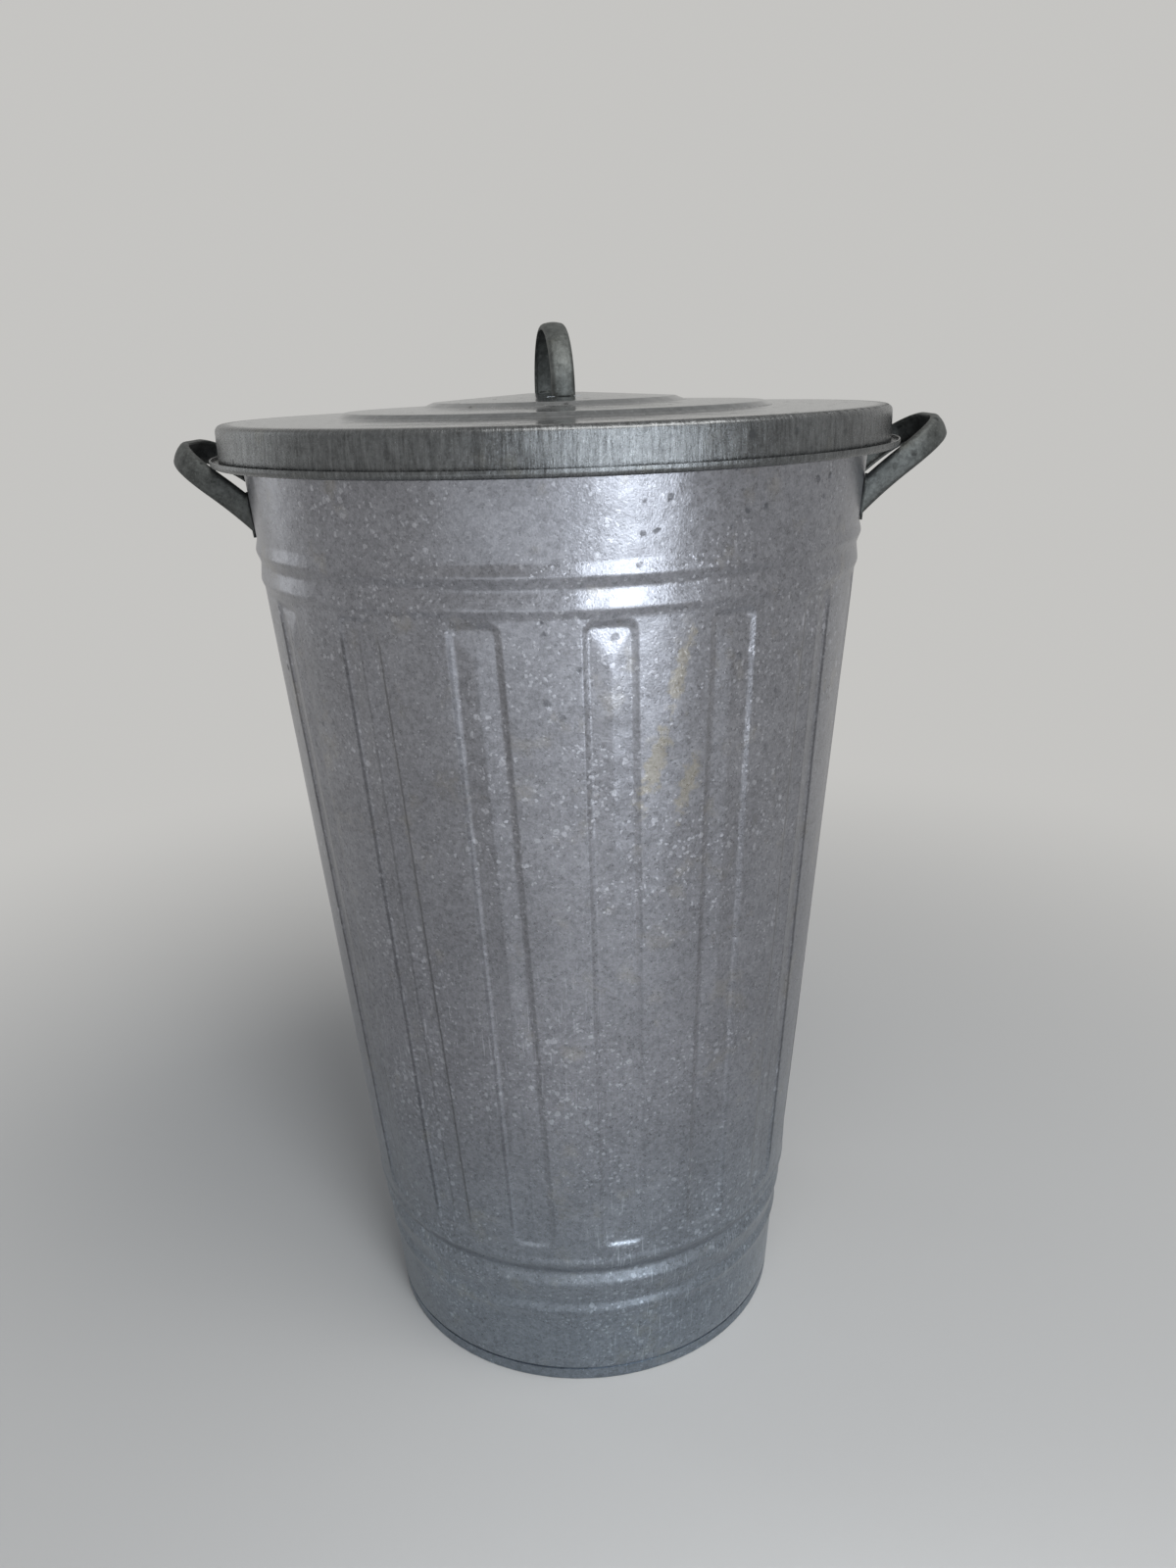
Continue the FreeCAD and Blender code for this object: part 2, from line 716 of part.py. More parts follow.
def make_lid_shell():
    """Pressed lid with a twice stepped top, a skirt and a hooked lower edge."""
    radii = [
        CREASE,
        LID_BEND_ROUND,
        LID_BEND_ROUND,
        LID_BEND_ROUND,
        LID_BEND_ROUND,
        LID_EDGE_ROUND,
        LID_HOOK_INNER_ROUND,
        LID_HOOK_OUTER_ROUND,
    ]
    return sheet_ring(lid_points(), radii, SHEET).cut(grip_slots())


def grip_tab():
    """Tab of the lid handle at +Y: through the slot and bent outward below."""
    outer = GRIP_SPAN / 2
    inner = outer - GRIP_SHEET
    tip = outer + TAB_LENGTH
    under = SHEET + SEAT_CLEARANCE
    points = [
        Vec(0, inner, dome_height(inner) + OVERRUN),
        Vec(0, outer, dome_height(inner) + OVERRUN),
        Vec(0, outer, dome_height(outer) - under),
        Vec(0, tip, dome_height(tip) - under),
        Vec(0, tip, dome_height(tip) - under - GRIP_SHEET),
        Vec(0, inner, dome_height(inner) - under - GRIP_SHEET),
    ]
    face = Part.Face(Part.makePolygon(points + [points[0]]))
    face.translate(Vec(-TAB_WIDTH / 2, 0, 0))
    return face.extrude(Vec(TAB_WIDTH, 0, 0))


def make_lid_handle():
    """Strap arch of the lid with its two clinched tabs."""
    foot = dome_height(GRIP_SPAN / 2)
    arch = strap_bow(
        GRIP_SPAN,
        GRIP_HEIGHT,
        GRIP_CORNER,
        GRIP_WIDTH,
        GRIP_SHEET,
        GRIP_LIP,
        GRIP_EDGE_ROUND,
        OVERRUN,
    )
    arch.rotate(ORIGIN, ACROSS, -QUARTER_TURN)
    arch.translate(Vec(0, 0, foot))
    crown = Vec(0, 0, dome_height(0) + GRIP_SEAT_CLEARANCE)
    brim = Vec(LID_DOME_RADIUS, 0, dome_height(LID_DOME_RADIUS) + GRIP_SEAT_CLEARANCE)
    below = foot - 2 * GRIP_HEIGHT
    edges = [
        Part.makeLine(crown, brim),
        Part.makeLine(brim, Vec(brim.x, 0, below)),
        Part.makeLine(Vec(brim.x, 0, below), Vec(0, 0, below)),
        Part.makeLine(Vec(0, 0, below), crown),
    ]
    arch = arch.cut(revolved(edges))
    near = grip_tab()
    far = near.mirror(ORIGIN, ACROSS)
    return turned(arch.fuse([near, far]).removeSplitter(), GRIP_TURN)


def main():
    """Build every piece and write one file for each node."""
    handle_right = make_handle_right()
    pieces = {
        "body_shell": make_body_shell(),
        "base_pan": make_base_pan(),
        "rim_wire": make_rim_wire(),
        "handle_left": turned(handle_right, 2 * QUARTER_TURN),
        "handle_right": handle_right,
        "handle_rivets": make_rivets(),
        "lid_shell": make_lid_shell(),
        "lid_handle": make_lid_handle(),
    }
    os.makedirs("parts", exist_ok=True)
    for name, shape in pieces.items():
        print(name, len(shape.Solids), len(shape.Faces), shape.isValid(), round(shape.Volume, 1))
        shape.exportStep("parts/" + name + ".step")


main()
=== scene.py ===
import json
import logging
import math
from dataclasses import dataclass
from enum import Enum

import bpy
import numpy as np
from mathutils import Matrix, Vector, noise

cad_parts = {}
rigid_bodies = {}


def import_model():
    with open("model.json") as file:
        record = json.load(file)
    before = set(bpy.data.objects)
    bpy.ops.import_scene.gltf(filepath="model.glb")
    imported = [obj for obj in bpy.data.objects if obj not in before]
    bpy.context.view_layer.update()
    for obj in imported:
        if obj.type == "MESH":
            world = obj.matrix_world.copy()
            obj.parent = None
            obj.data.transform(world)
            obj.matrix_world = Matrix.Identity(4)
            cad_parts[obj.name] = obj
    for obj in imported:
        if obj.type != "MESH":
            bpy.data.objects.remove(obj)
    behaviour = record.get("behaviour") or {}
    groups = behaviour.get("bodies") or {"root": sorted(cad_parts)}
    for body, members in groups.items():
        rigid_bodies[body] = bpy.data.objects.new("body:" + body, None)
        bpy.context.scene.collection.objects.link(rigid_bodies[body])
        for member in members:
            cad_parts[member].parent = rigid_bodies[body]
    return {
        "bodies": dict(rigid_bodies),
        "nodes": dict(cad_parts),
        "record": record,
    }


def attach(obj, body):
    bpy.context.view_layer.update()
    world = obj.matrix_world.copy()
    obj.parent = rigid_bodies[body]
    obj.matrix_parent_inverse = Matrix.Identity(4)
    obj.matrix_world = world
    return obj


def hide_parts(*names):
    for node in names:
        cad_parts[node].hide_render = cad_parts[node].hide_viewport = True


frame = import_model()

LOG = logging.getLogger("bin_scene")
MM = 0.001
BLACK = (0.0, 0.0, 0.0)
Colour = tuple[float, float, float]
Place = tuple[float, float, float]
Span = tuple[float, float]
Socket = bpy.types.NodeSocket
Sockets = bpy.types.bpy_prop_collection
Material = bpy.types.Material
Object = bpy.types.Object


class Body(Enum):
    """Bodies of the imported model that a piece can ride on."""

    BIN = "bin"
    LID = "lid"


class Slot(Enum):
    """Material slots of the record."""

    BODY = "zinc_body"
    BASE = "zinc_base"
    WIRE = "steel_wire"
    HANDLE = "zinc_handle"
    RIVET = "steel_rivet"
    LID = "zinc_lid"
    GRIP = "zinc_grip"


class Effect(Enum):
    """Node groups that several finishes share."""

    GRAIN = "zinc_grain"
    WEATHER = "weathering"
    STREAKS = "drawn_streaks"


class Graph:
    """Small helper that adds and links nodes in one node tree."""

    def __init__(self, tree: bpy.types.NodeTree) -> None:
        """Keep the tree.

        Args:
            tree: Node tree of a material, a world or a node group.
        """
        self.tree = tree

    def node(self, kind: str, inputs: dict | None = None, **settings: object) -> bpy.types.Node:
        """Add a node, set its properties and fill its inputs.

        Args:
            kind: Blender's type name of the node.
            inputs: Values or output sockets by input name or index.
            settings: Properties of the node.

        Returns:
            The new node.
        """
        made = self.tree.nodes.new(kind)
        for name, value in settings.items():
            setattr(made, name, value)
        for key, value in (inputs or {}).items():
            self.feed(made.inputs[key], value)
        return made

    def feed(self, socket: Socket, value: object) -> None:
        """Link a socket to an output, or set its own value.

        Args:
            socket: Input to fill.
            value: An output socket or a plain value.
        """
        if isinstance(value, Socket):
            self.tree.links.new(value, socket)
        else:
            socket.default_value = value

    def math(self, operation: str, *values: object, clamp: bool = False) -> Socket:
        """Add a math node.

        Args:
            operation: Blender's name of the operation.
            values: Its inputs in order.
            clamp: Whether the result is kept between 0 and 1.

        Returns:
            The result's socket.
        """
        inputs = dict(enumerate(values))
        return self.node("ShaderNodeMath", inputs, operation=operation, use_clamp=clamp).outputs[0]

    def band(self, value: object, low: float, high: float) -> Socket:
        """Ease a value from 0 at low to 1 at high.

        Args:
            value: Socket to read.
            low: Value that gives 0.
            high: Value that gives 1.

        Returns:
            The eased value's socket.
        """
        inputs = {"Value": value, "From Min": low, "From Max": high}
        return self.node("ShaderNodeMapRange", inputs, interpolation_type="SMOOTHSTEP").outputs["Result"]

    def mix(self, factor: object, first: object, second: object, blend: str = "MIX") -> Socket:
        """Mix two colours.

        Args:
            factor: Share of the second colour.
            first: First colour.
            second: Second colour.
            blend: Blender's blend type.

        Returns:
            The mixed colour's socket.
        """
        made = self.node("ShaderNodeMix", data_type="RGBA", blend_type=blend)
        for key, value in ((0, factor), (6, first), (7, second)):
            self.feed(made.inputs[key], (*value, 1.0) if isinstance(value, tuple) else value)
        return made.outputs[2]

    def noise(self, vector: object, scale: float, detail: float = 2.0, rough: float = 0.5) -> Socket:
        """Add a noise texture.

        Args:
            vector: Coordinates.
            scale: Waves per metre.
            detail: Octaves.
            rough: Weight of the finer octaves.

        Returns:
            The noise value's socket.
        """
        inputs = {"Vector": vector, "Scale": scale, "Detail": detail, "Roughness": rough}
        return self.node("ShaderNodeTexNoise", inputs).outputs["Fac"]

    def cells(self, vector: object, scale: object) -> tuple[Socket, Sockets]:
        """Add a cell texture.

        Args:
            vector: Coordinates.
            scale: Cells per metre.

        Returns:
            Distance from the cell's middle, and three values drawn for the cell.
        """
        made = self.node("ShaderNodeTexVoronoi", {"Vector": vector, "Scale": scale}).outputs
        drawn = self.node("ShaderNodeSeparateColor", {"Color": made["Color"]}).outputs
        return made["Distance"], drawn

    def split(self, vector: object) -> Sockets:
        """Take a vector apart into X, Y and Z."""
        return self.node("ShaderNodeSeparateXYZ", {0: vector}).outputs

    def length(self, vector: object) -> Socket:
        """Measure a vector."""
        return self.node("ShaderNodeVectorMath", {0: vector}, operation="LENGTH").outputs["Value"]

    def front_turn(self, x: object, y: object) -> Socket:
        """Turn about Z from the front, rising towards +X, in radians."""
        return self.math("ARCTAN2", x, self.math("MULTIPLY", y, -1.0))


def new_group(effect: Effect, inputs: dict[str, str], outputs: tuple[str, ...]) -> tuple[Graph, dict, dict]:
    """Start a shader node group with named sockets.

    Args:
        effect: Which effect the group holds.
        inputs: Socket type of each input by name.
        outputs: Names of the value outputs.

    Returns:
        The group's graph, its input sockets by name and its output node's sockets by name.
    """
    tree = bpy.data.node_groups.new(effect.value, "ShaderNodeTree")
    for name, kind in inputs.items():
        tree.interface.new_socket(name, in_out="INPUT", socket_type=kind)
    for name in outputs:
        tree.interface.new_socket(name, in_out="OUTPUT", socket_type="NodeSocketFloat")
    graph = Graph(tree)
    entry = graph.node("NodeGroupInput")
    leave = graph.node("NodeGroupOutput")
    given = {name: entry.outputs[name] for name in inputs}
    return graph, given, {name: leave.inputs[name] for name in outputs}


@dataclass(frozen=True)
class ZincGrain:
    """Zinc crystals, patches, light specks and flecks, and dark pits, in waves or cells per metre."""

    crystal_share: float = 0.3
    fine_share: float = 0.8
    fine_scale: float = 850.0
    patch_scale: float = 190.0
    warp_scale: float = 420.0
    warp_reach: float = 3.2 * MM
    herd_scale: float = 17.0
    herd_edge: Span = (0.36, 0.66)
    speck_scale: float = 410.0
    speck_size: float = 0.26
    speck_growth: float = 0.3
    speck_edge: float = 0.12
    speck_left_out: float = 0.35
    fleck_scale: float = 190.0
    fleck_size: float = 0.15
    fleck_growth: float = 0.34
    fleck_edge: float = 0.1
    pit_scale: float = 120.0
    pit_size: float = 0.05
    pit_growth: float = 0.3
    pit_edge: float = 0.16
    pit_left_out: float = 0.5
    swarm_scale: float = 9.0
    swarm_edge: Span = (0.44, 0.62)
    swarm_heights: Span = (0.38, 0.5)
    patch_height: float = 0.6
    pit_height: float = -0.5
    speck_height: float = 0.2

    def build(self) -> None:
        """Build the node group."""
        graph, given, result = new_group(
            Effect.GRAIN,
            {"Position": "NodeSocketVector", "Spangle": "NodeSocketFloat", "Fleck Cover": "NodeSocketFloat"},
            ("Tone", "Patch", "Speck", "Fleck", "Pit", "Height"),
        )
        place = given["Position"]
        crystal = graph.cells(place, given["Spangle"])[1][0]
        fine = graph.noise(place, self.fine_scale, rough=0.6)
        patchy = graph.noise(place, self.patch_scale, detail=3.0, rough=0.6)
        tone = graph.math("MULTIPLY", fine, self.fine_share)
        tone = graph.math("MULTIPLY_ADD", crystal, self.crystal_share, tone)
        graph.feed(result["Tone"], graph.math("SUBTRACT", tone, (self.crystal_share + self.fine_share) / 2))
        graph.feed(result["Patch"], graph.math("SUBTRACT", patchy, 0.5))

        warped = graph.node("ShaderNodeTexNoise", {"Vector": place, "Scale": self.warp_scale, "Detail": 2.0})
        shift = graph.node("ShaderNodeVectorMath", {
            0: warped.outputs["Color"], "Scale": self.warp_reach,
        }, operation="SCALE").outputs[0]
        moved = graph.node("ShaderNodeVectorMath", {0: place, 1: shift}, operation="ADD").outputs[0]
        herd = graph.band(graph.noise(place, self.herd_scale), *self.herd_edge)

        away, drawn = graph.cells(moved, self.speck_scale)
        size = graph.math("MULTIPLY_ADD", herd, self.speck_growth, self.speck_size)
        inside = graph.math("SUBTRACT", graph.math("MULTIPLY", drawn[1], size), away)
        picked = graph.math("GREATER_THAN", drawn[0], self.speck_left_out)
        speck = graph.math("MULTIPLY", graph.band(inside, 0.0, self.speck_edge), picked)
        graph.feed(result["Speck"], speck)

        away, drawn = graph.cells(moved, self.fleck_scale)
        size = graph.math("MULTIPLY_ADD", herd, self.fleck_growth, self.fleck_size)
        inside = graph.math("SUBTRACT", graph.math("MULTIPLY", drawn[1], size), away)
        picked = graph.math("GREATER_THAN", graph.math("ADD", drawn[0], given["Fleck Cover"]), 1.0)
        graph.feed(result["Fleck"], graph.math("MULTIPLY", graph.band(inside, 0.0, self.fleck_edge), picked))

        away, drawn = graph.cells(moved, self.pit_scale)
        swarm = graph.band(graph.noise(place, self.swarm_scale, detail=1.0), *self.swarm_edge)
        swarm = graph.math("MULTIPLY", swarm, graph.band(graph.split(place)[2], *self.swarm_heights))
        size = graph.math("MULTIPLY_ADD", drawn[1], self.pit_growth, self.pit_size)
        pit = graph.band(graph.math("SUBTRACT", size, away), 0.0, self.pit_edge)
        pit = graph.math("MULTIPLY", pit, graph.math("GREATER_THAN", drawn[2], self.pit_left_out))
        pit = graph.math("MULTIPLY", pit, swarm)
        graph.feed(result["Pit"], pit)

        height = graph.math("MULTIPLY_ADD", patchy, self.patch_height, fine)
        height = graph.math("MULTIPLY_ADD", pit, self.pit_height, height)
        graph.feed(result["Height"], graph.math("MULTIPLY_ADD", speck, self.speck_height, height))


@dataclass(frozen=True)
class Weathering:
    """Slow changes over the sheet: clouds of tone, shallow dents and stains."""

    cloud_scale: float = 22.0
    dent_scale: float = 38.0
    stain_scale: float = 42.0
    stain_edge: Span = (0.58, 0.72)

    def build(self) -> None:
        """Build the node group."""
        graph, given, result = new_group(
            Effect.WEATHER, {"Position": "NodeSocketVector"}, ("Cloud", "Dent", "Stain")
        )
        place = given["Position"]
        cloud = graph.noise(place, self.cloud_scale, detail=4.0, rough=0.6)
        graph.feed(result["Cloud"], graph.math("SUBTRACT", cloud, 0.5))
        graph.feed(result["Dent"], graph.noise(place, self.dent_scale, rough=0.45))
        stain = graph.noise(place, self.stain_scale, detail=3.0, rough=0.6)
        graph.feed(result["Stain"], graph.band(stain, *self.stain_edge))


@dataclass(frozen=True)
class DrawnStreaks:
    """Drag marks that run up and down the lid's skirt, and scratches low on the round sides."""

    skirt_radii: Span = (188.0 * MM, 195.5 * MM)
    streak_scale: Place = (92.0, 48.0, 1.0)
    scratch_scale: Place = (104.0, 44.0, 4.0)
    scratch_edge: Span = (0.6, 0.68)
    area_scale: float = 7.0
    area_edge: Span = (0.5, 0.62)
    scratch_heights: Span = (0.36, 0.22)

    def build(self) -> None:
        """Build the node group."""
        graph, given, result = new_group(
            Effect.STREAKS, {"Position": "NodeSocketVector"}, ("Fine", "Scratch", "Skirt")
        )
        x, y, z = graph.split(given["Position"])
        unrolled = graph.node("ShaderNodeCombineXYZ", {0: graph.front_turn(x, y), 1: z}).outputs[0]
        plan = graph.node("ShaderNodeCombineXYZ", {0: x, 1: y}).outputs[0]
        skirt = graph.band(graph.length(plan), *self.skirt_radii)
        graph.feed(result["Skirt"], skirt)
        drawn = graph.node("ShaderNodeMapping", {"Vector": unrolled, "Scale": self.streak_scale}).outputs[0]
        fine = graph.math("SUBTRACT", graph.noise(drawn, 1.0, detail=5.0, rough=0.75), 0.5)
        graph.feed(result["Fine"], graph.math("MULTIPLY", fine, skirt))
        stroke = graph.node("ShaderNodeMapping", {"Vector": unrolled, "Scale": self.scratch_scale}).outputs[0]
        scratch = graph.band(graph.noise(stroke, 1.0, detail=3.0), *self.scratch_edge)
        area = graph.band(graph.noise(given["Position"], self.area_scale, detail=1.0), *self.area_edge)
        area = graph.math("MULTIPLY", area, graph.band(z, *self.scratch_heights))
        graph.feed(result["Scratch"], graph.math("MULTIPLY", scratch, area))


@dataclass(frozen=True)
class Stain:
    """Ragged ochre stain: its middle and its half sizes along the axes."""

    centre: Place
    radii: Place
    lean: float = 0.27
    rag_scale: float = 160.0
    rag: float = 2.6
    edge: Span = (2.3, 1.7)
    strength: float = 0.33

    def mask(self, graph: Graph, place: Socket) -> Socket:
        """Strength of the stain.

        Args:
            graph: Graph of the material.
            place: Coordinates.

        Returns:
            Socket with the stain's strength.
        """
        near = graph.node("ShaderNodeMapping", {
            "Vector": place, "Location": self.centre, "Rotation": (0.0, self.lean, 0.0), "Scale": self.radii,
        }, vector_type="TEXTURE").outputs[0]
        rag = graph.noise(place, self.rag_scale, detail=3.0, rough=0.6)
        ragged = graph.math("MULTIPLY_ADD", rag, self.rag, graph.length(near))
        return graph.math("MULTIPLY", graph.band(ragged, *self.edge), self.strength)


@dataclass(frozen=True)
class PanelForm:
    """One pressed panel: a recess with soft step walls and a ridged floor."""

    count: int = 16
    pitch: float = math.radians(21.9)
    front: float = math.radians(8.3)
    lean: float = math.radians(0.8)
    bottom: float = 112.7 * MM
    top: float = 512.4 * MM
    half_width: float = 14.5 * MM
    corner: float = 6.5 * MM
    depth: float = 1.7 * MM
    step_run: float = 3.8 * MM
    foot_run: float = 3.4 * MM
    foot_shallow: float = 0.42
    foot_fade: float = 30.0 * MM
    ridge: float = 2.0 * MM
    hip: float = 20.0 * MM
    fade: float = 170.0 * MM
    soften: float = 0.9 * MM
    bend: float = 0.55 * MM
    bend_samples: tuple[float, ...] = (-1.0, -0.5, 0.0, 0.5, 1.0)

    @property
    def middle(self) -> float:
        """Height of the panels' middle."""
        return (self.top + self.bottom) / 2

    @property
    def half_length(self) -> float:
        """Half of the panels' length."""
        return (self.top - self.bottom) / 2

    def angle(self, index: int) -> float:
        """Direction of a panel's middle.

        Args:
            index: Which panel, counted from the back.

        Returns:
            Turn about Z from +X, in radians.
        """
        return self.front + (index - self.count // 2) * self.pitch - math.pi / 2

    def offsets(self) -> np.ndarray:
        """Sideways places of the mesh columns on one panel.

        Returns:
            Distances from the panel's middle line, in metres.
        """
        bend = np.array([-0.8, -0.4, 0.0, 0.4, 0.8]) * MM
        floor_edge = self.half_width - self.step_run
        floor = np.array([0.0, 0.7, 1.6, 4.0, 6.5, 8.2, 9.4]) * MM
        step = [self.half_width - self.step_run / 2]
        side = np.concatenate([floor, floor_edge + bend, step, self.half_width + bend])
        return np.concatenate([-side[:0:-1], side])

    def relief(self, sideways: np.ndarray, height: np.ndarray, radius: np.ndarray) -> np.ndarray:
        """Radial offset of the sheet on a panel.

        Args:
            sideways: Distance from the panel's middle line.
            height: Height above the floor.
            radius: Radius of the plain wall at that height.

        Returns:
            Offset from the plain wall, negative inward.
        """
        along = height - self.middle
        corner_x = np.abs(sideways) - (self.half_width - self.corner)
        corner_y = np.abs(along) - (self.half_length - self.corner)
        outside = np.hypot(np.maximum(corner_x, 0), np.maximum(corner_y, 0))
        edge = outside + np.minimum(np.maximum(corner_x, corner_y), 0) - self.corner
        low_end = np.clip((2 * self.corner - along - self.half_length) / self.corner, 0, 1)
        run = self.step_run + (self.foot_run - self.step_run) * low_end
        step = np.zeros_like(edge)
        for shift in self.bend_samples:
            step += np.clip((shift * self.bend - edge) / run, 0, 1) / len(self.bend_samples)
        across = np.hypot(sideways, self.soften) - self.soften
        roof = np.minimum(1 - across / self.half_width, (self.half_length - along) / self.hip)
        roof = np.clip(np.minimum(roof, (self.half_length + along) / self.fade), 0, 1)
        sag = self.half_width ** 2 / (2 * radius)
        shallow = 1 - self.foot_shallow * np.clip(1 - (self.half_length + along) / self.foot_fade, 0, 1)
        floor = (self.ridge * roof - sag - self.depth) * shallow + sideways ** 2 / (2 * radius)
        return step * floor


@dataclass(frozen=True)
class PanelShadeLines:
    """Painted shade: thin dark lines on the panels' edges and ridges, fainter towards the front, standing for
    shading that the lamps don't give.
    """

    panels: PanelForm = PanelForm()
    strength: float = 0.42
    inset: float = 1.0 * MM
    edge_width: Span = (1.4 * MM, 0.4 * MM)
    ridge_width: Span = (1.3 * MM, 0.3 * MM)
    ridge_share: float = 0.5
    end_gap: Span = (6.0 * MM, 16.0 * MM)
    seam: float = math.radians(172.0)
    front_middle: float = 0.2
    front_span: Span = (0.35, 0.6)
    front_share: float = 0.2

    def mask(self, graph: Graph, place: Socket) -> Socket:
        """Strength of the painted shade lines.

        Args:
            graph: Graph of the material.
            place: Coordinates.

        Returns:
            Socket with the lines' strength.
        """
        panels = self.panels
        x, y, z = graph.split(place)
        turn = graph.front_turn(x, y)
        radius = graph.math("SQRT", graph.math("MULTIPLY_ADD", x, x, graph.math("MULTIPLY", y, y)))
        off = graph.math("SUBTRACT", turn, panels.front)
        off = graph.math("WRAP", off, panels.pitch / 2, -panels.pitch / 2)
        lean = graph.math("MULTIPLY", graph.math("SUBTRACT", panels.middle, z), math.tan(panels.lean))
        sideways = graph.math("ABSOLUTE", graph.math("SUBTRACT", graph.math("MULTIPLY", off, radius), lean))
        edge = graph.math("ABSOLUTE", graph.math("SUBTRACT", sideways, panels.half_width - self.inset))
        ridge = graph.math("MULTIPLY", graph.band(sideways, *self.ridge_width), self.ridge_share)
        line = graph.math("MAXIMUM", graph.band(edge, *self.edge_width), ridge)
        along = graph.math("ABSOLUTE", graph.math("SUBTRACT", z, panels.middle))
        ends = graph.band(along, *(panels.half_length - gap for gap in self.end_gap))
        line = graph.math("MULTIPLY", line, ends)
        line = graph.math("MULTIPLY", line, graph.math("LESS_THAN", turn, self.seam))
        # The painted shade lines fade towards the front.
        from_front = graph.math("ABSOLUTE", graph.math("SUBTRACT", turn, self.front_middle))
        kept = graph.band(from_front, *self.front_span)
        kept = graph.math("MULTIPLY_ADD", kept, 1 - self.front_share, self.front_share)
        return graph.math("MULTIPLY", graph.math("MULTIPLY", line, kept), self.strength)


@dataclass(frozen=True)
class ZincFinish:
    """Galvanised sheet: tone, spangle, flecks, pits, stains and streaks, with painted shade lines on the
    panels, painted shade on the lid's skirt and a painted cool light tint towards the foot.
    """

    slot: Slot
    tone: Colour
    spangle: float = 520.0
    contrast: float = 0.7
    patch: float = 0.35
    speck: float = 0.4
    cover: float = 0.3
    fleck: float = 0.34
    pit: float = 0.35
    streak: float = 0.0
    drag: float = 0.0
    # Share of painted shade on the lid's skirt, against the lid's top.
    skirt_painted_shade: float = 0.0
    scratch: float = 0.25
    cloud: float = 0.35
    stain: float = 0.1
    # Strength of a painted cool light tint that grows towards the foot.
    painted_cool_light: float = 0.0
    marks: tuple[Stain, ...] = ()
    # Painted shade lines on the panels' edges and ridges.
    panel_shade_lines: PanelShadeLines | None = None
    metal: float = 0.92
    rough: float = 0.44
    bump: float = 1.0
    dent: float = 0.3
    middle: float = 0.42
    dark: float = 0.42
    light: float = 1.62
    warm: Colour = (1.5, 1.3, 0.78)
    painted_cool_colour: Colour = (0.8, 0.97, 1.04)
    painted_cool_heights: Span = (0.27, 0.03)
    tone_rough: float = 0.12
    pit_rough: float = 0.25
    speck_rough: float = 0.1
    grain_depth: float = 0.18 * MM
    dent_depth: float = 3.0 * MM

    def effect(self, graph: Graph, effect: Effect, inputs: dict) -> Sockets:
        """Add one of the shared groups.

        Args:
            graph: Graph of the material.
            effect: Which group.
            inputs: Values or sockets by input name.

        Returns:
            The group's outputs.
        """
        return graph.node("ShaderNodeGroup", inputs, node_tree=bpy.data.node_groups[effect.value]).outputs

    def tinted(self, tint: Colour) -> Colour:
        """Tone of the sheet times a tint, at most 1."""
        return tuple(min(1.0, part * share) for part, share in zip(self.tone, tint))

    def material(self) -> Material:
        """Build the material.

        Returns:
            A new node material named after the slot.
        """
        made = bpy.data.materials.new(self.slot.value + "_finish")
        made.use_nodes = True
        made.node_tree.nodes.clear()
        graph = Graph(made.node_tree)
        place = graph.node("ShaderNodeTexCoord").outputs["Object"]
        grain = self.effect(graph, Effect.GRAIN, {
            "Position": place, "Spangle": self.spangle, "Fleck Cover": self.cover,
        })
        weather = self.effect(graph, Effect.WEATHER, {"Position": place})
        streaks = self.effect(graph, Effect.STREAKS, {"Position": place})

        level = graph.math("MULTIPLY", grain["Tone"], self.contrast)
        for mask, weight in (
            (grain["Patch"], self.patch), (grain["Speck"], self.speck), (weather["Cloud"], self.cloud),
            (streaks["Fine"], self.streak), (grain["Fleck"], self.fleck), (streaks["Scratch"], self.scratch),
            (grain["Pit"], -self.pit),
        ):
            level = graph.math("MULTIPLY_ADD", mask, weight, level)
        share = graph.math("ADD", level, self.middle, clamp=True)
        colour = graph.mix(share, self.tinted((self.dark,) * 3), self.tinted((self.light,) * 3))
        warm = self.tinted(self.warm)
        colour = graph.mix(graph.math("MULTIPLY", weather["Stain"], self.stain), colour, warm)
        for mark in self.marks:
            colour = graph.mix(mark.mask(graph, place), colour, warm)
        # Painted shade: the lid's skirt is darkened against the lid's top, for the darker surroundings it
        # mirrors.
        colour = graph.mix(graph.math("MULTIPLY", streaks["Skirt"], self.skirt_painted_shade), colour, BLACK)
        # Painted shade: dark lines on the panels' edges and ridges darken the colour where the lamps give no
        # shading.
        if self.panel_shade_lines:
            colour = graph.mix(self.panel_shade_lines.mask(graph, place), colour, BLACK)
        # Painted light: a bluish, slightly darker tint growing towards the foot stands for cool daylight
        # reflected there.
        low = graph.math("MULTIPLY", graph.band(graph.split(place)[2], *self.painted_cool_heights), self.painted_cool_light)
        colour = graph.mix(low, colour, self.painted_cool_colour, "MULTIPLY")

        rough = graph.math("MULTIPLY_ADD", grain["Tone"], self.tone_rough, self.rough)
        rough = graph.math("MULTIPLY_ADD", grain["Pit"], self.pit_rough, rough)
        rough = graph.math("MULTIPLY_ADD", streaks["Skirt"], self.drag, rough)
        rough = graph.math("MULTIPLY_ADD", grain["Speck"], self.speck_rough, rough, clamp=True)

        height = graph.math("MULTIPLY", grain["Height"], self.bump)
        height = graph.math("MULTIPLY_ADD", streaks["Fine"], self.streak, height)
        fine = graph.node("ShaderNodeBump", {"Height": height, "Strength": 1.0, "Distance": self.grain_depth})
        slow = graph.node("ShaderNodeBump", {
            "Height": weather["Dent"], "Strength": self.dent, "Distance": self.dent_depth,
            "Normal": fine.outputs[0],
        })
        shader = graph.node("ShaderNodeBsdfPrincipled", {
            "Base Color": colour, "Metallic": self.metal, "Roughness": rough, "Normal": slow.outputs[0],
        })
        graph.node("ShaderNodeOutputMaterial", {"Surface": shader.outputs[0]})
        return made


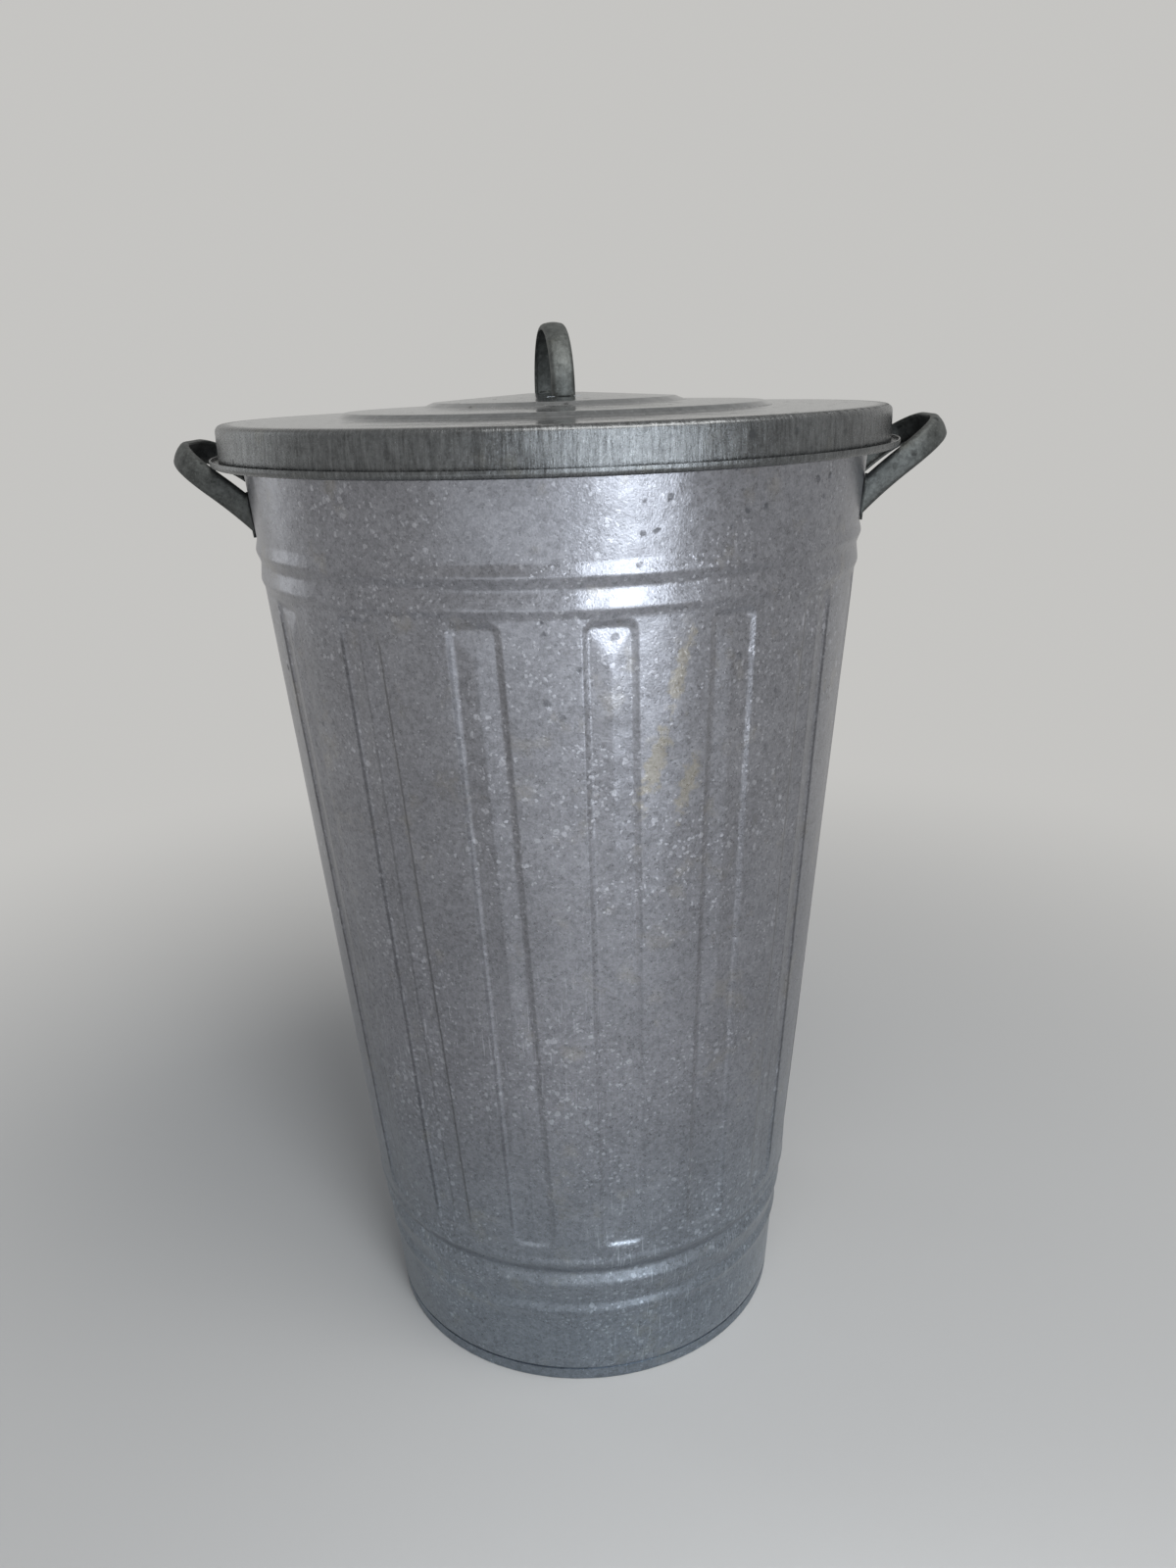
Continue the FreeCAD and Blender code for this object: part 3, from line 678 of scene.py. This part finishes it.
EFFECTS = (ZincGrain(), Weathering(), DrawnStreaks())
BODY_MARKS = (
    Stain((0.0445, -0.168, 0.43), (0.0066, 0.02, 0.027)),
    Stain((0.063, -0.161, 0.419), (0.0062, 0.02, 0.021)),
    Stain((0.0592, -0.1683, 0.484), (0.0048, 0.02, 0.022)),
)
FINISHES = (
    # The body gets painted shade lines on its panels and a painted cool light tint towards the foot.
    ZincFinish(
        Slot.BODY, (0.276, 0.279, 0.304), cover=0.4, fleck=0.4, scratch=0.5, stain=0.12, metal=0.9,
        rough=0.3, bump=0.65, painted_cool_light=0.6, marks=BODY_MARKS, panel_shade_lines=PanelShadeLines(),
    ),
    # The base gets the same painted cool light tint towards the foot.
    ZincFinish(Slot.BASE, (0.255, 0.26, 0.285), fleck=0.2, pit=0.3, painted_cool_light=0.6),
    ZincFinish(Slot.WIRE, (0.2, 0.205, 0.215), fleck=0.1, rough=0.4),
    ZincFinish(Slot.HANDLE, (0.1, 0.105, 0.102), patch=1.1, speck=0.3, cloud=0.8, rough=0.6, bump=0.8),
    ZincFinish(Slot.RIVET, (0.1, 0.106, 0.106), patch=0.6, speck=0.2, cloud=0.6, rough=0.5, bump=0.4),
    # The lid's skirt gets painted shade, darker than its top.
    ZincFinish(
        Slot.LID, (0.23, 0.238, 0.244), contrast=0.5, speck=0.15, streak=1.7, drag=0.11, skirt_painted_shade=0.4,
        fleck=0.1, rough=0.16, bump=0.2,
    ),
    ZincFinish(Slot.GRIP, (0.108, 0.114, 0.11), patch=1.1, speck=0.3, cloud=0.8, rough=0.58, bump=0.8),
)


@dataclass(frozen=True)
class BinWall:
    """Tapered sheet wall with beads, grooves, pressed panels and a curled rim."""

    panels: PanelForm = PanelForm()
    radius_floor: float = 137.3 * MM
    taper: float = 0.0851
    sheet: float = 0.9 * MM
    curl_height: float = 600.0 * MM
    curl_radius: float = 4.1 * MM
    curl_end: float = math.radians(-110.0)
    foot: float = -2.2 * MM
    joggle: float = -3.15 * MM
    upper: float = -0.6 * MM
    rolling: float = 1.7 * MM
    seam_half_width: float = 5.0 * MM
    seam_soft: float = 0.8 * MM
    seam_low: float = 14.6 * MM
    seam_high: float = 585.0 * MM
    curl_step: float = math.radians(14.0)
    dent: float = 0.32 * MM
    dent_sizes: Span = (14.0, 37.0)
    dent_shares: Span = (0.75, 0.35)
    dent_shift: float = -0.4
    dent_low: float = 16.0 * MM
    dent_high: float = 592.0 * MM
    dent_fade: float = 20.0 * MM

    def stations(self) -> list[tuple[float, float]]:
        """Heights and set-outs of the rolled profile.

        Returns:
            Pairs of height and offset from the plain cone, in metres.
        """
        foot = self.foot
        return [
            (1.0 * MM, self.joggle), (8.7 * MM, self.joggle), (10.5 * MM, foot), (53.0 * MM, foot),
            (58.5 * MM, foot + 1.3 * MM), (65.5 * MM, foot - 0.9 * MM), (82.0 * MM, foot + 2.0 * MM),
            (91.0 * MM, foot - 1.0 * MM), (100.5 * MM, 0.8 * MM), (105.0 * MM, -0.2 * MM), (107.5 * MM, 0.0),
            (514.0 * MM, 0.0), (518.2 * MM, 1.3 * MM), (528.4 * MM, -0.6 * MM), (535.0 * MM, 1.3 * MM),
            (541.0 * MM, self.upper), (self.curl_height, self.upper),
        ]

    def heights(self) -> np.ndarray:
        """Heights of the mesh rows below the curl.

        Returns:
            Rising heights in metres.
        """
        rows = [1.0, 5.0, 8.7, 9.6, 10.5, 12.0, 20.0, 30.0, 40.0, 48.0]
        grooves, panel_feet, panel_sides = (53, 112, 1.3), (112, 131, 1.0), (131, 494, 9.0)
        panel_tops, beads, upper_wall = (494, 513, 1.0), (513, 546, 1.1), (546, 601, 8.0)
        for low, high, step in (grooves, panel_feet, panel_sides, panel_tops, beads, upper_wall):
            rows.extend(np.arange(low, high - step / 2, step))
        return np.array(rows + [self.curl_height / MM]) * MM

    def set_out(self, heights: np.ndarray) -> np.ndarray:
        """Rolled profile with softened crests and valleys.

        Args:
            heights: Heights to evaluate.

        Returns:
            Offsets from the plain cone.
        """
        knots, outs = np.array(self.stations()).T
        total = np.zeros_like(heights)
        window = np.linspace(-1, 1, 17)
        weights = np.cos(window * math.pi / 2) ** 2
        for shift, weight in zip(window, weights):
            total += weight * np.interp(heights + shift * self.rolling, knots, outs)
        soft = total / weights.sum()
        sharp = np.interp(heights, knots, outs)
        return np.where(heights < 20 * MM, sharp, soft)

    def columns(self, heights: np.ndarray) -> tuple[np.ndarray, np.ndarray]:
        """Directions of the mesh columns and their places on the panels.

        Args:
            heights: Heights of the rows.

        Returns:
            Angles by row and column, and each column's offset from its panel's middle (NaN on a land).
        """
        panels = self.panels
        margin = 8 * MM
        held = np.clip(heights, panels.bottom - margin, panels.top + margin)
        radius = self.radius_floor + self.taper * held
        shift = (panels.middle - held) * math.tan(panels.lean)
        offsets = panels.offsets()
        angles = []
        places = []
        for index in range(panels.count):
            for offset in offsets:
                angles.append(panels.angle(index) + (offset + shift) / radius)
                places.append(offset)
            last = index + 1 == panels.count
            following = panels.angle(0) + 2 * math.pi if last else panels.angle(index + 1)
            start = panels.angle(index) + (offsets[-1] + shift) / radius
            end = following + (offsets[0] + shift) / radius
            shares = np.linspace(0, 1, 6)[1:-1]
            if last:
                side = np.array([0.88, 0.96, 1.04, 1.12, 1.8, 2.6]) * self.seam_half_width
                spread = np.concatenate([-side[::-1], [0.0], side])
                shares = 0.5 + spread / ((end - start).mean() * radius.mean())
            for share in shares:
                angles.append(start + (end - start) * share)
                places.append(math.nan)
        return np.array(angles).T, np.array(places)

    def seam_relief(self, angles: np.ndarray, heights: np.ndarray, radius: np.ndarray) -> np.ndarray:
        """Raised strip of the folded seam at the back.

        Args:
            angles: Angles by row and column.
            heights: Heights of the rows.
            radius: Plain radius of the rows.

        Returns:
            Outward offsets by row and column.
        """
        panels = self.panels
        middle = (panels.angle(0) + panels.angle(panels.count - 1) + 2 * math.pi) / 2
        away = np.abs((angles - middle + math.pi) % (2 * math.pi) - math.pi) * radius[:, None]
        share = np.clip((self.seam_half_width - away) / self.seam_soft + 0.5, 0, 1)
        inside = (heights > self.seam_low) & (heights < self.seam_high)
        return share * inside[:, None] * self.sheet

    def dents(self, points: np.ndarray) -> np.ndarray:
        """Shallow unevenness of the sheet, inward, fading out at the foot and the rim.

        Args:
            points: Points by row and column.

        Returns:
            Radial offsets by row and column.
        """
        flat = points.reshape(-1, 3)
        depth = np.full(len(flat), self.dent_shift)
        for size, share in zip(self.dent_sizes, self.dent_shares):
            depth += share * np.array([noise.noise(Vector(point) * size) for point in flat])
        low = np.clip((flat[:, 2] - self.dent_low) / self.dent_fade, 0, 1)
        high = np.clip((self.dent_high - flat[:, 2]) / self.dent_fade, 0, 1)
        return (self.dent * depth * low * high).reshape(points.shape[:2])

    def build(self, finish: Material) -> Object:
        """Make the wall's mesh object.

        Args:
            finish: Material of the sheet.

        Returns:
            The new object, in place.
        """
        heights = self.heights()
        radius = self.radius_floor + self.taper * heights
        angles, places = self.columns(heights)
        columns = angles.shape[1]
        out = np.repeat((radius + self.set_out(heights))[:, None], columns, axis=1)
        on_panel = ~np.isnan(places)
        out[:, on_panel] += self.panels.relief(places[None, on_panel], heights[:, None], radius[:, None])
        out += self.seam_relief(angles, heights, radius)
        levels = np.repeat(heights[:, None], columns, axis=1)
        points = np.stack([out * np.cos(angles), out * np.sin(angles), levels], axis=2)
        out += self.dents(points)
        turn = np.arange(math.pi, self.curl_end, -self.curl_step)[1:]
        centre = radius[-1] + self.upper + self.curl_radius
        curl_out = np.repeat((centre + self.curl_radius * np.cos(turn))[:, None], columns, axis=1)
        curl_up = np.repeat((self.curl_height + self.curl_radius * np.sin(turn))[:, None], columns, axis=1)
        out = np.vstack([out, curl_out])
        levels = np.vstack([levels, curl_up])
        angles = np.vstack([angles, np.repeat(angles[-1:], len(turn), axis=0)])
        points = np.stack([out * np.cos(angles), out * np.sin(angles), levels], axis=2)
        made = grid_mesh("bin_wall", [(points, True)], self.sheet, finish)
        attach(made, Body.BIN.value)
        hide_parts("body_shell")
        return made


@dataclass(frozen=True)
class StrapSection:
    """Cross-section of a strap with folded-in edges and a crowned face."""

    width: float = 14.6 * MM
    lip: float = 4.4 * MM
    edge_round: float = 3.4 * MM
    crown: float = 0.5 * MM
    sheet: float = 1.4 * MM

    def points(self) -> np.ndarray:
        """Outline of the outer side, from lip to lip.

        Returns:
            Rows of places across the strap and outward.
        """
        half = self.width / 2
        flat = half - self.edge_round
        turn = np.linspace(math.pi, math.pi / 2, 7)
        bend = np.stack([self.edge_round * np.cos(turn) - flat, self.edge_round * (np.sin(turn) - 1)], axis=1)
        across = np.linspace(-flat, flat, 9)[1:-1]
        face = np.stack([across, self.crown * (1 - (across / flat) ** 2)], axis=1)
        lip = np.array([[-half, -self.lip]])
        near = np.vstack([lip, bend])
        return np.vstack([near, face, near[::-1] * [-1, 1]])


@dataclass(frozen=True)
class SideHandle:
    """Bowed strap on one side of the bin, with a foot plate at each leg."""

    node: str
    turn: float
    reach: float
    section: StrapSection = StrapSection()
    wall: BinWall = BinWall()
    half_span: float = 46.0 * MM
    corner: float = 35.0 * MM
    root_height: float = 554.0 * MM
    lean_root: float = math.radians(44.0)
    lean_end: float = math.radians(30.0)
    foot_width: float = 17.0 * MM
    foot_low: float = 541.0 * MM
    foot_high: float = 567.0 * MM
    foot_corner: float = 5.0 * MM
    seat: float = 0.15 * MM
    start_range: Span = (-20.0 * MM, 25.0 * MM)
    halvings: int = 40

    def wall_radius(self, height: np.ndarray) -> np.ndarray:
        """Radius of the upper wall.

        Args:
            height: Heights above the floor.

        Returns:
            Radii of the outer face.
        """
        return self.wall.radius_floor + self.wall.taper * height + self.wall.upper

    def along(self, out: np.ndarray, across: np.ndarray) -> tuple[np.ndarray, np.ndarray]:
        """Place on the bent sheet that the bow lies on.

        Args:
            out: Distances from the leg's root, along the bent sheet.
            across: Distances from that sheet, upward.

        Returns:
            Distances from the bin's axis along the handle, and heights.
        """
        rate = (self.lean_end - self.lean_root) / self.reach
        lean = self.lean_root + rate * out
        root = math.sqrt(float(self.wall_radius(np.array(self.root_height))) ** 2 - self.half_span ** 2)
        away = root + (np.sin(lean) - math.sin(self.lean_root)) / rate - across * np.sin(lean)
        height = self.root_height - (np.cos(lean) - math.cos(self.lean_root)) / rate + across * np.cos(lean)
        return away, height

    def leg_start(self, across: np.ndarray, side: np.ndarray) -> np.ndarray:
        """Where each line of the strap meets the wall.

        Args:
            across: Places across the strap.
            side: Distances of the lines from the handle's middle plane.

        Returns:
            Distances from the leg's root.
        """
        low, high = (np.full_like(across, limit) for limit in self.start_range)
        for _ in range(self.halvings):
            middle = (low + high) / 2
            away, height = self.along(middle, across)
            outside = np.hypot(away, side) > self.wall_radius(height) + self.seat
            high = np.where(outside, middle, high)
            low = np.where(outside, low, middle)
        return high

    def strap(self) -> np.ndarray:
        """Points of the strap.

        Returns:
            Points by place along the bow and across it.
        """
        across, outward = self.section.points().T
        bend = self.reach - self.corner
        side = self.half_span + outward
        start = self.leg_start(across, side)
        rows = [(start + (bend - start) * share, side) for share in np.linspace(0, 1, 12)]
        for turn in np.linspace(0, math.pi / 2, 16)[1:]:
            out = bend + (self.corner + outward) * math.sin(turn)
            rows.append((out, self.half_span - self.corner + (self.corner + outward) * math.cos(turn)))
        rows.extend([(out, -beside) for out, beside in rows[::-1]])
        points = []
        for out, beside in rows:
            away, height = self.along(out, across)
            points.append(np.stack([away, beside, height], axis=1))
        return np.array(points)

    def foot(self, side: float) -> np.ndarray:
        """Points of a foot plate, as loops round its middle.

        Args:
            side: 1 or -1, for the leg.

        Returns:
            Points by loop and place on the loop.
        """
        half = np.array([self.foot_width, self.foot_high - self.foot_low]) / 2
        turn = np.linspace(0, 2 * math.pi, 48, endpoint=False)
        round_off = np.stack([np.cos(turn), np.sin(turn)], axis=1)
        edge = np.sign(np.round(round_off, 6)) * (half - self.foot_corner) + self.foot_corner * round_off
        loops = np.array([edge * share for share in (0.02, 0.5, 0.9, 1.0)])
        beside = side * (self.half_span - half[0]) + loops[..., 0] * side
        height = (self.foot_low + self.foot_high) / 2 + loops[..., 1]
        radius = self.wall_radius(height) + self.section.sheet + self.seat
        points = np.stack([np.sqrt(radius ** 2 - beside ** 2), beside, height], axis=2)
        return points[:, ::-1] if side > 0 else points

    def build(self, finish: Material) -> Object:
        """Make the handle's mesh object.

        Args:
            finish: Material of the strap.

        Returns:
            The new object, in place.
        """
        grids = [(self.strap(), False), (self.foot(1.0), True), (self.foot(-1.0), True)]
        turn = np.array(Matrix.Rotation(self.turn, 3, "Z"))
        grids = [(points @ turn.T, closed) for points, closed in grids]
        made = grid_mesh("strap_" + self.node, grids, self.section.sheet, finish)
        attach(made, Body.BIN.value)
        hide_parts(self.node)
        return made


@dataclass(frozen=True)
class LidGrip:
    """Strap arch on the lid, with a tab through the lid below each leg."""

    section: StrapSection = StrapSection(13.6 * MM, 3.6 * MM, 3.0 * MM, 0.5 * MM)
    turn: float = math.radians(8.0)
    half_span: float = 41.6 * MM
    height: float = 40.8 * MM
    corner: float = 39.0 * MM
    foot: float = 615.5 * MM
    fall: float = 0.062
    seat: float = 0.15 * MM
    lid_sheet: float = 0.9 * MM
    tab_width: float = 11.0 * MM
    tab_length: float = 9.0 * MM
    tab_bend: float = 0.4 * MM
    tab_rise: float = 2.0 * MM

    def dome(self, away: np.ndarray) -> np.ndarray:
        """Height of the lid's upper side under the grip.

        Args:
            away: Distances from the lid's axis.

        Returns:
            Heights above the floor.
        """
        return self.foot - self.fall * (away - self.half_span)

    def strap(self) -> np.ndarray:
        """Points of the strap.

        Returns:
            Points by place along the arch and across it.
        """
        across, outward = self.section.points().T
        bend = self.foot + self.height - self.corner
        beside = self.half_span + outward
        start = self.dome(beside) + self.seat
        rows = [(beside, start + (bend - start) * share) for share in np.linspace(0, 1, 6)]
        for turn in np.linspace(0, math.pi / 2, 20)[1:]:
            reach = self.corner + outward
            away = self.half_span - self.corner + reach * math.cos(turn)
            rows.append((away, bend + reach * math.sin(turn)))
        near = [np.stack([across, -away, height], axis=1) for away, height in rows]
        return np.array(near + [points * [1, -1, 1] for points in near[::-1]])

    def tab(self, side: float) -> np.ndarray:
        """Points of a tab that goes through the lid and is bent outward below it.

        Args:
            side: 1 for the near leg, -1 for the far one.

        Returns:
            Points along the tab and across it.
        """
        under = self.lid_sheet + self.seat
        tip = self.half_span + self.tab_length
        path = [
            (tip, self.dome(tip) - under), (self.half_span + self.tab_bend, self.foot - under),
            (self.half_span, self.foot - under + self.tab_bend), (self.half_span, self.foot + self.tab_rise),
        ]
        half = self.tab_width / 2
        rows = [[(across * side, -away * side, height) for across in (-half, half)] for away, height in path]
        return np.array(rows)

    def build(self, finish: Material) -> Object:
        """Make the grip's mesh object.

        Args:
            finish: Material of the strap.

        Returns:
            The new object, in place.
        """
        turn = np.array(Matrix.Rotation(self.turn, 3, "Z"))
        grids = [(points @ turn.T, False) for points in (self.strap(), self.tab(1.0), self.tab(-1.0))]
        made = grid_mesh("strap_lid_handle", grids, self.section.sheet, finish)
        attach(made, Body.LID.value)
        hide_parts("lid_handle")
        return made


SIDE_HANDLES = (
    SideHandle("handle_right", math.radians(-2.0), 66.0 * MM),
    SideHandle("handle_left", math.radians(178.0), 61.5 * MM),
)


def add_object(name: str, data: bpy.types.ID) -> Object:
    """Add an object to the scene.

    Args:
        name: Name of the object.
        data: Its mesh, lamp or camera.

    Returns:
        The new object.
    """
    made = bpy.data.objects.new(name, data)
    bpy.context.scene.collection.objects.link(made)
    return made


def grid_mesh(
    name: str, grids: list[tuple[np.ndarray, bool]], sheet: float, finish: Material
) -> Object:
    """Make a smooth mesh of sheet metal from grids of points on its outer side.

    Args:
        name: Name of the piece.
        grids: Points by row and column, and whether each row closes to a ring. Faces look outward
            where columns run to the right and rows upward.
        sheet: Thickness of the sheet, inward.
        finish: Material of the piece.

    Returns:
        The new object.
    """
    corners = []
    quads = []
    for points, closed in grids:
        rows, columns = points.shape[:2]
        index = np.arange(rows * columns).reshape(rows, columns) + sum(len(part) for part in corners)
        after = np.roll(index, -1, axis=1)
        cells = np.stack([index[:-1], after[:-1], after[1:], index[1:]], axis=2)
        quads.append((cells if closed else cells[:, :-1]).reshape(-1, 4))
        corners.append(points.reshape(-1, 3))
    faces = np.vstack(quads)
    mesh = bpy.data.meshes.new(name)
    mesh.from_pydata(np.vstack(corners).tolist(), [], faces.tolist())
    mesh.polygons.foreach_set("use_smooth", [True] * len(faces))
    mesh.materials.append(finish)
    mesh.update()
    made = add_object(name, mesh)
    thick = made.modifiers.new("sheet", "SOLIDIFY")
    thick.thickness = sheet
    thick.offset = -1.0
    return made


@dataclass(frozen=True)
class Lamp:
    """Soft rectangular lamp: place, point it faces, width and height, watts, colour and beam angle."""

    name: str
    place: Place
    aim: Place
    size: Span
    power: float
    colour: Colour
    spread: float = math.pi

    def build(self) -> None:
        """Add the lamp to the scene."""
        data = bpy.data.lights.new(self.name, "AREA")
        data.spread = self.spread
        data.shape = "RECTANGLE"
        data.size, data.size_y = self.size
        data.energy = self.power
        data.color = self.colour
        made = add_object(self.name, data)
        made.location = self.place
        ahead = Vector(self.aim) - Vector(self.place)
        made.rotation_euler = ahead.to_track_quat("-Z", "Y").to_euler()


COLD_WHITE = (0.86, 0.93, 1.0)
PALE_BLUE = (0.88, 0.94, 1.0)
LAMPS = (
    Lamp("key", (0.72, -1.97, 1.0), (0.05, 0.0, 0.4), (0.7, 1.9), 28.0, COLD_WHITE),
    Lamp("strip", (0.5, -1.0, 0.31), (0.05, 0.0, 0.36), (0.24, 0.6), 0.33, COLD_WHITE, math.radians(90)),
    Lamp("wash", (0.0, -1.06, 0.22), (0.0, 0.0, 0.3), (1.7, 0.42), 0.85, PALE_BLUE, math.radians(120)),
    Lamp("pool", (0.11, -0.68, 1.4), (0.11, -0.67, 0.0), (0.6, 0.5), 0.7, (0.9, 0.95, 1.0), math.radians(24)),
    Lamp("fill", (-1.9, 0.9, 0.95), (0.0, 0.0, 0.45), (0.5, 1.6), 3.2, (0.95, 0.98, 1.0)),
    Lamp("top", (0.55, -0.8, 2.2), (0.0, 0.0, 0.6), (1.3, 1.0), 24.0, (1.0, 0.99, 0.97)),
)


@dataclass(frozen=True)
class Studio:
    """Floor, light and camera."""

    floor_colour: Colour = (0.52, 0.515, 0.505)
    backdrop: Colour = (0.56, 0.555, 0.54)
    world_colour: Colour = (0.9, 0.94, 1.0)
    world_strength: float = 0.28
    fade_start: float = 0.28
    fade_end: float = 1.25
    floor_half: float = 14.0
    floor_rough: float = 0.85
    lens: float = 28.125
    sensor: float = 36.0
    eye: Place = (0.0, -0.77515, 0.62810)
    pitch: float = 0.3242
    yaw: float = 0.0166
    roll: float = -0.0320

    def floor(self) -> None:
        """Lay a wide pale floor."""
        mesh = bpy.data.meshes.new("floor")
        half = self.floor_half
        corners = [(-half, -half, 0.0), (half, -half, 0.0), (half, half, 0.0), (-half, half, 0.0)]
        mesh.from_pydata(corners, [], [(0, 1, 2, 3)])
        made = add_object("floor", mesh)
        finish = bpy.data.materials.new("floor_finish")
        finish.use_nodes = True
        finish.node_tree.nodes.clear()
        graph = Graph(finish.node_tree)
        place = graph.node("ShaderNodeTexCoord").outputs["Object"]
        fade = graph.band(graph.length(place), self.fade_start, self.fade_end)
        far = graph.math("MULTIPLY", fade, self.direct_rays(graph))
        near = graph.node("ShaderNodeBsdfPrincipled", {
            "Base Color": (*self.floor_colour, 1.0), "Roughness": self.floor_rough,
        })
        glow = graph.node("ShaderNodeEmission", {"Color": (*self.backdrop, 1.0)})
        blend = graph.node("ShaderNodeMixShader", {0: far, 1: near.outputs[0], 2: glow.outputs[0]})
        graph.node("ShaderNodeOutputMaterial", {"Surface": blend.outputs[0]})
        mesh.materials.append(finish)

    def direct_rays(self, graph: Graph) -> Socket:
        """Tell the rays that show the backdrop from those that only carry light.

        Args:
            graph: Graph of the floor or the world.

        Returns:
            Socket with 1 for camera, glossy and transmission rays.
        """
        rays = graph.node("ShaderNodeLightPath").outputs
        shown = graph.math("MAXIMUM", rays["Is Camera Ray"], rays["Is Glossy Ray"])
        return graph.math("MAXIMUM", shown, rays["Is Transmission Ray"])

    def world(self) -> None:
        """Set a pale surrounding that lights the object softly."""
        world = bpy.data.worlds.new("studio")
        bpy.context.scene.world = world
        world.use_nodes = True
        world.node_tree.nodes.clear()
        graph = Graph(world.node_tree)
        light = graph.node("ShaderNodeBackground", {
            "Color": (*self.world_colour, 1.0), "Strength": self.world_strength,
        })
        seen = graph.node("ShaderNodeBackground", {"Color": (*self.backdrop, 1.0)})
        chosen = graph.node("ShaderNodeMixShader", {
            0: self.direct_rays(graph), 1: light.outputs[0], 2: seen.outputs[0],
        })
        graph.node("ShaderNodeOutputWorld", {"Surface": chosen.outputs[0]})

    def camera(self) -> None:
        """Place the camera at the photograph's viewing angle."""
        data = bpy.data.cameras.new("camera")
        data.lens = self.lens
        data.sensor_width = self.sensor
        made = add_object("camera", data)
        level = math.cos(self.pitch)
        ahead = Vector((math.sin(self.yaw) * level, math.cos(self.yaw) * level, -math.sin(self.pitch)))
        side = Vector((math.cos(self.yaw), -math.sin(self.yaw), 0.0))
        above = side.cross(ahead)
        right = side * math.cos(self.roll) + above * math.sin(self.roll)
        top = above * math.cos(self.roll) - side * math.sin(self.roll)
        turn = Matrix((right, top, -ahead)).transposed().to_4x4()
        made.matrix_world = Matrix.Translation(Vector(self.eye)) @ turn
        bpy.context.scene.camera = made

    def build(self) -> None:
        """Build the whole studio."""
        self.floor()
        self.world()
        for lamp in LAMPS:
            lamp.build()
        self.camera()
        bpy.context.scene.view_settings.view_transform = "Standard"


def clear_defaults() -> None:
    """Remove the objects that a new file starts with."""
    kept = set(frame["nodes"].values()) | set(frame["bodies"].values())
    for item in list(bpy.data.objects):
        if item not in kept:
            bpy.data.objects.remove(item)


def dress_nodes(finishes: dict[str, Material]) -> None:
    """Give each CAD node the finish of its material slot.

    Args:
        finishes: Materials by slot name.
    """
    for entry in frame["record"]["subparts"]:
        node = frame["nodes"][entry["node"]]
        node.data.materials.clear()
        node.data.materials.append(finishes[entry["material_slot"]])
        LOG.info("finish %s on %s", entry["material_slot"], entry["node"])


def main() -> None:
    """Build the finishes, the pieces and the studio."""
    logging.basicConfig(level=logging.INFO, format="%(name)s: %(message)s")
    clear_defaults()
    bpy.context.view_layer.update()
    for effect in EFFECTS:
        effect.build()
    finishes = {finish.slot.value: finish.material() for finish in FINISHES}
    dress_nodes(finishes)
    pieces = [BinWall().build(finishes[Slot.BODY.value])]
    for handle in SIDE_HANDLES:
        pieces.append(handle.build(finishes[Slot.HANDLE.value]))
    pieces.append(LidGrip().build(finishes[Slot.GRIP.value]))
    for piece in pieces:
        LOG.info("piece %s with %d points", piece.name, len(piece.data.vertices))
    Studio().build()


if __name__ == "__main__":
    main()
